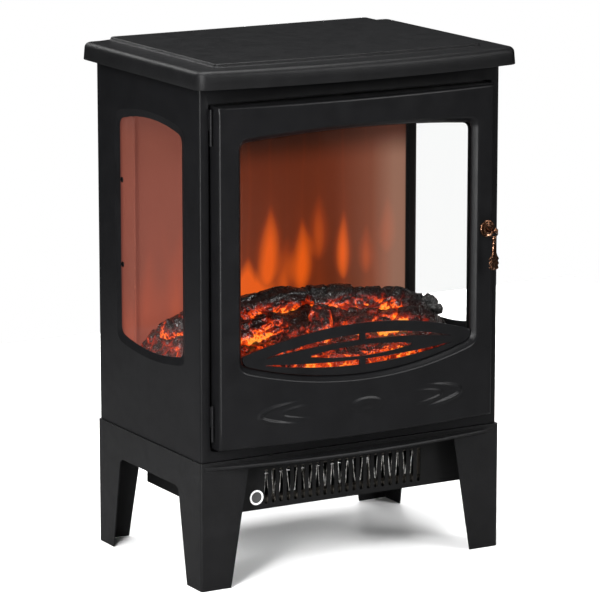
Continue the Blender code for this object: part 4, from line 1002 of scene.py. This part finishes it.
CHAR = (0.012, 0.0105, 0.010)
# chunks of char in each metre of log, along its grain and across it
CHUNKS_ALONG, CHUNKS_ACROSS = 33.0, 40.0


def split(bm, cuts):
    """Make triangles of the faces, then cut each edge into equal lengths."""
    bmesh.ops.triangulate(bm, faces=bm.faces)
    bmesh.ops.subdivide_edges(bm, edges=bm.edges, cuts=cuts, use_grid_fill=True)


def rough_log(node, seed, hot, reach):
    """Charred log: the CAD log remeshed finely, split along its grain and cracked across it."""
    bm = welded(node, 0.1)
    split(bm, 3)
    bmesh.ops.smooth_vert(bm, verts=bm.verts, factor=0.5, use_axis_x=True, use_axis_y=True, use_axis_z=True)
    split(bm, 1)
    bm.normal_update()
    low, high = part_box(node)
    axis = high - low
    axis.z = 0.0
    axis.normalize()
    for v in bm.verts:
        p = v.co
        along = p.dot(axis)
        across = p - axis * along
        chunk = Vector((along * CHUNKS_ALONG, across.y * CHUNKS_ACROSS + seed, across.z * CHUNKS_ACROSS))
        near = noise.voronoi(chunk + Vector((seed, 0, 0)), distance_metric="DISTANCE", exponent=2.5)[0]
        cleft = smooth_step((near[1] - near[0]) / 0.15)
        grain = noise.fractal(Vector((along * 22.0, across.y * 150.0, across.z * 150.0 + seed)), 1.0, 2.0, 3)
        lump = noise.noise(p * 30.0 + Vector((seed, seed, 0)))
        facet = noise.cell(chunk)
        shift = 0.0020 - 0.0062 * (1 - cleft) + 0.0007 * grain + 0.0040 * lump + 0.0012 * facet
        v.co = p + v.normal * shift
    shader = ember_material("charred_" + node, CHAR, reach, hot, "charred_log_resin", seed)
    add_object(node, bm, [shader], sharp=42, copied=True)


for node, (seed, hot, climb) in LOG_LOOKS.items():
    low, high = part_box(node)
    tall = high.z - low.z
    rough_log(node, seed, hot, (low.z + 0.15 * tall, low.z + climb * tall))

# the bed: lumps all over its top, and a drift of loose embers at its right end
bm = welded("ember_bed", 0.01)
split(bm, 2)
split(bm, 1)
bm.normal_update()
bed_low, bed_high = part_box("ember_bed")
for v in bm.verts:
    p = v.co
    if p.z < bed_low.z + 0.004 or v.normal.z < 0.15:
        continue
    near = noise.voronoi(p * 62.0, distance_metric="DISTANCE", exponent=2.5)[0]
    lump = smooth_step((near[1] - near[0]) / 0.35)
    edge = min(1.0, (bed_high.x - abs(p.x)) / 0.01)
    drift = smooth_step((p.x - 0.128) / 0.030) * smooth_step((0.188 - p.x) / 0.035)
    drift *= smooth_step((p.y + 0.090) / 0.05) * smooth_step((0.055 - p.y) / 0.03)
    v.co = p + v.normal * (0.0044 * (lump - 0.60) + 0.0010 * noise.noise(p * 160.0)) * edge
    v.co.z += 0.010 * drift * (0.6 + lump)
EMBER = ember_material("ember_bed_glow", (0.020, 0.012, 0.010), (0.258, 0.302), 1.15, "ember_resin", 0.5)
add_object("ember_bed", bm, [EMBER], sharp=50, copied=True)

# ---------------------------------------------------------------- stage, light, camera ---
# the backdrop is plain white to look at, and a dim soft surround as light
world = bpy.data.worlds.new("studio")
bpy.context.scene.world = world
world.use_nodes = True
tree = world.node_tree
surround = tree.nodes["Background"]
surround.inputs["Color"].default_value = (0.90, 0.95, 1.0, 1.0)
surround.inputs["Strength"].default_value = 0.035
backdrop = tree.nodes.new("ShaderNodeBackground")
backdrop.inputs["Color"].default_value = (1.0, 1.0, 1.0, 1.0)
seen = tree.nodes.new("ShaderNodeLightPath")
choose = tree.nodes.new("ShaderNodeMixShader")
tree.links.new(seen.outputs["Is Camera Ray"], choose.inputs[0])
tree.links.new(surround.outputs[0], choose.inputs[1])
tree.links.new(backdrop.outputs[0], choose.inputs[2])
tree.links.new(choose.outputs[0], tree.nodes["World Output"].inputs["Surface"])
bpy.context.scene.view_settings.view_transform = "Standard"

floor_mat = Shader("studio_floor", (0.97, 0.97, 0.97), 0.9)
# a black card's effect: gloss rays see a dark floor, so the coat doesn't mirror the white one
card = floor_mat.tree.nodes.new("ShaderNodeBsdfDiffuse")
card.inputs["Color"].default_value = (0.20, 0.20, 0.20, 1.0)
card_path = floor_mat.tree.nodes.new("ShaderNodeLightPath")
card_mix = floor_mat.tree.nodes.new("ShaderNodeMixShader")
floor_mat.link(card_path.outputs["Is Glossy Ray"], card_mix.inputs[0])
floor_mat.link(floor_mat.bsdf.outputs[0], card_mix.inputs[1])
floor_mat.link(card.outputs[0], card_mix.inputs[2])
floor_mat.link(card_mix.outputs[0], floor_mat.tree.nodes["Material Output"].inputs["Surface"])
bm = bmesh.new()
bmesh.ops.create_grid(bm, x_segments=2, y_segments=2, size=1.2)
floor_mesh = bpy.data.meshes.new("studio_floor")
bm.to_mesh(floor_mesh)
bm.free()
floor_mesh.materials.append(floor_mat.mat)
floor = bpy.data.objects.new("studio_floor", floor_mesh)
bpy.context.scene.collection.objects.link(floor)
floor.location.z = -0.0004


def area_light(name, place, target, size, power):
    data = bpy.data.lights.new(name, "AREA")
    data.shape = "RECTANGLE"
    data.size, data.size_y = size
    data.energy = power
    obj = bpy.data.objects.new(name, data)
    obj.location = place
    obj.rotation_euler = (Vector(target) - Vector(place)).to_track_quat("-Z", "Y").to_euler()
    obj.visible_camera = False
    bpy.context.scene.collection.objects.link(obj)


area_light("key_left", (-2.6, -1.6, 2.4), (0, 0, 0.35), (1.4, 1.4), 130.0)
area_light("fill_right", (2.1, -3.1, 1.9), (0, 0, 0.3), (1.6, 1.6), 112.0)
area_light("edge_strip_left", (-0.92, -0.78, 0.64), (0, 0, 0.64), (0.16, 1.24), 20.0)
area_light("edge_strip_right", (0.9, 1.55, 0.30), (0, 0, 0.30), (0.25, 0.56), 14.0)
area_light("rear", (-0.6, 3.0, 2.3), (0, 0, 0.3), (1.2, 1.2), 28.0)
area_light("top", (0.0, 0.3, 3.2), (0, 0, 0.0), (2.4, 2.4), 165.0)

VIEW_AZ, VIEW_EL = math.radians(-29.8), math.radians(11.94)
VIEW_DISTANCE = 4.46
TARGET = Vector((0.003, 0.0, 0.3035)) + OVERHANG
level = math.cos(VIEW_EL)
back = Vector((math.sin(VIEW_AZ) * level, -math.cos(VIEW_AZ) * level, math.sin(VIEW_EL)))
camera_data = bpy.data.cameras.new("camera")
camera_data.lens = 221.2
camera_data.sensor_width = 36.0
camera = bpy.data.objects.new("camera", camera_data)
camera.location = TARGET + back * VIEW_DISTANCE
camera.rotation_euler = back.to_track_quat("Z", "Y").to_euler()
bpy.context.scene.collection.objects.link(camera)
bpy.context.scene.camera = camera
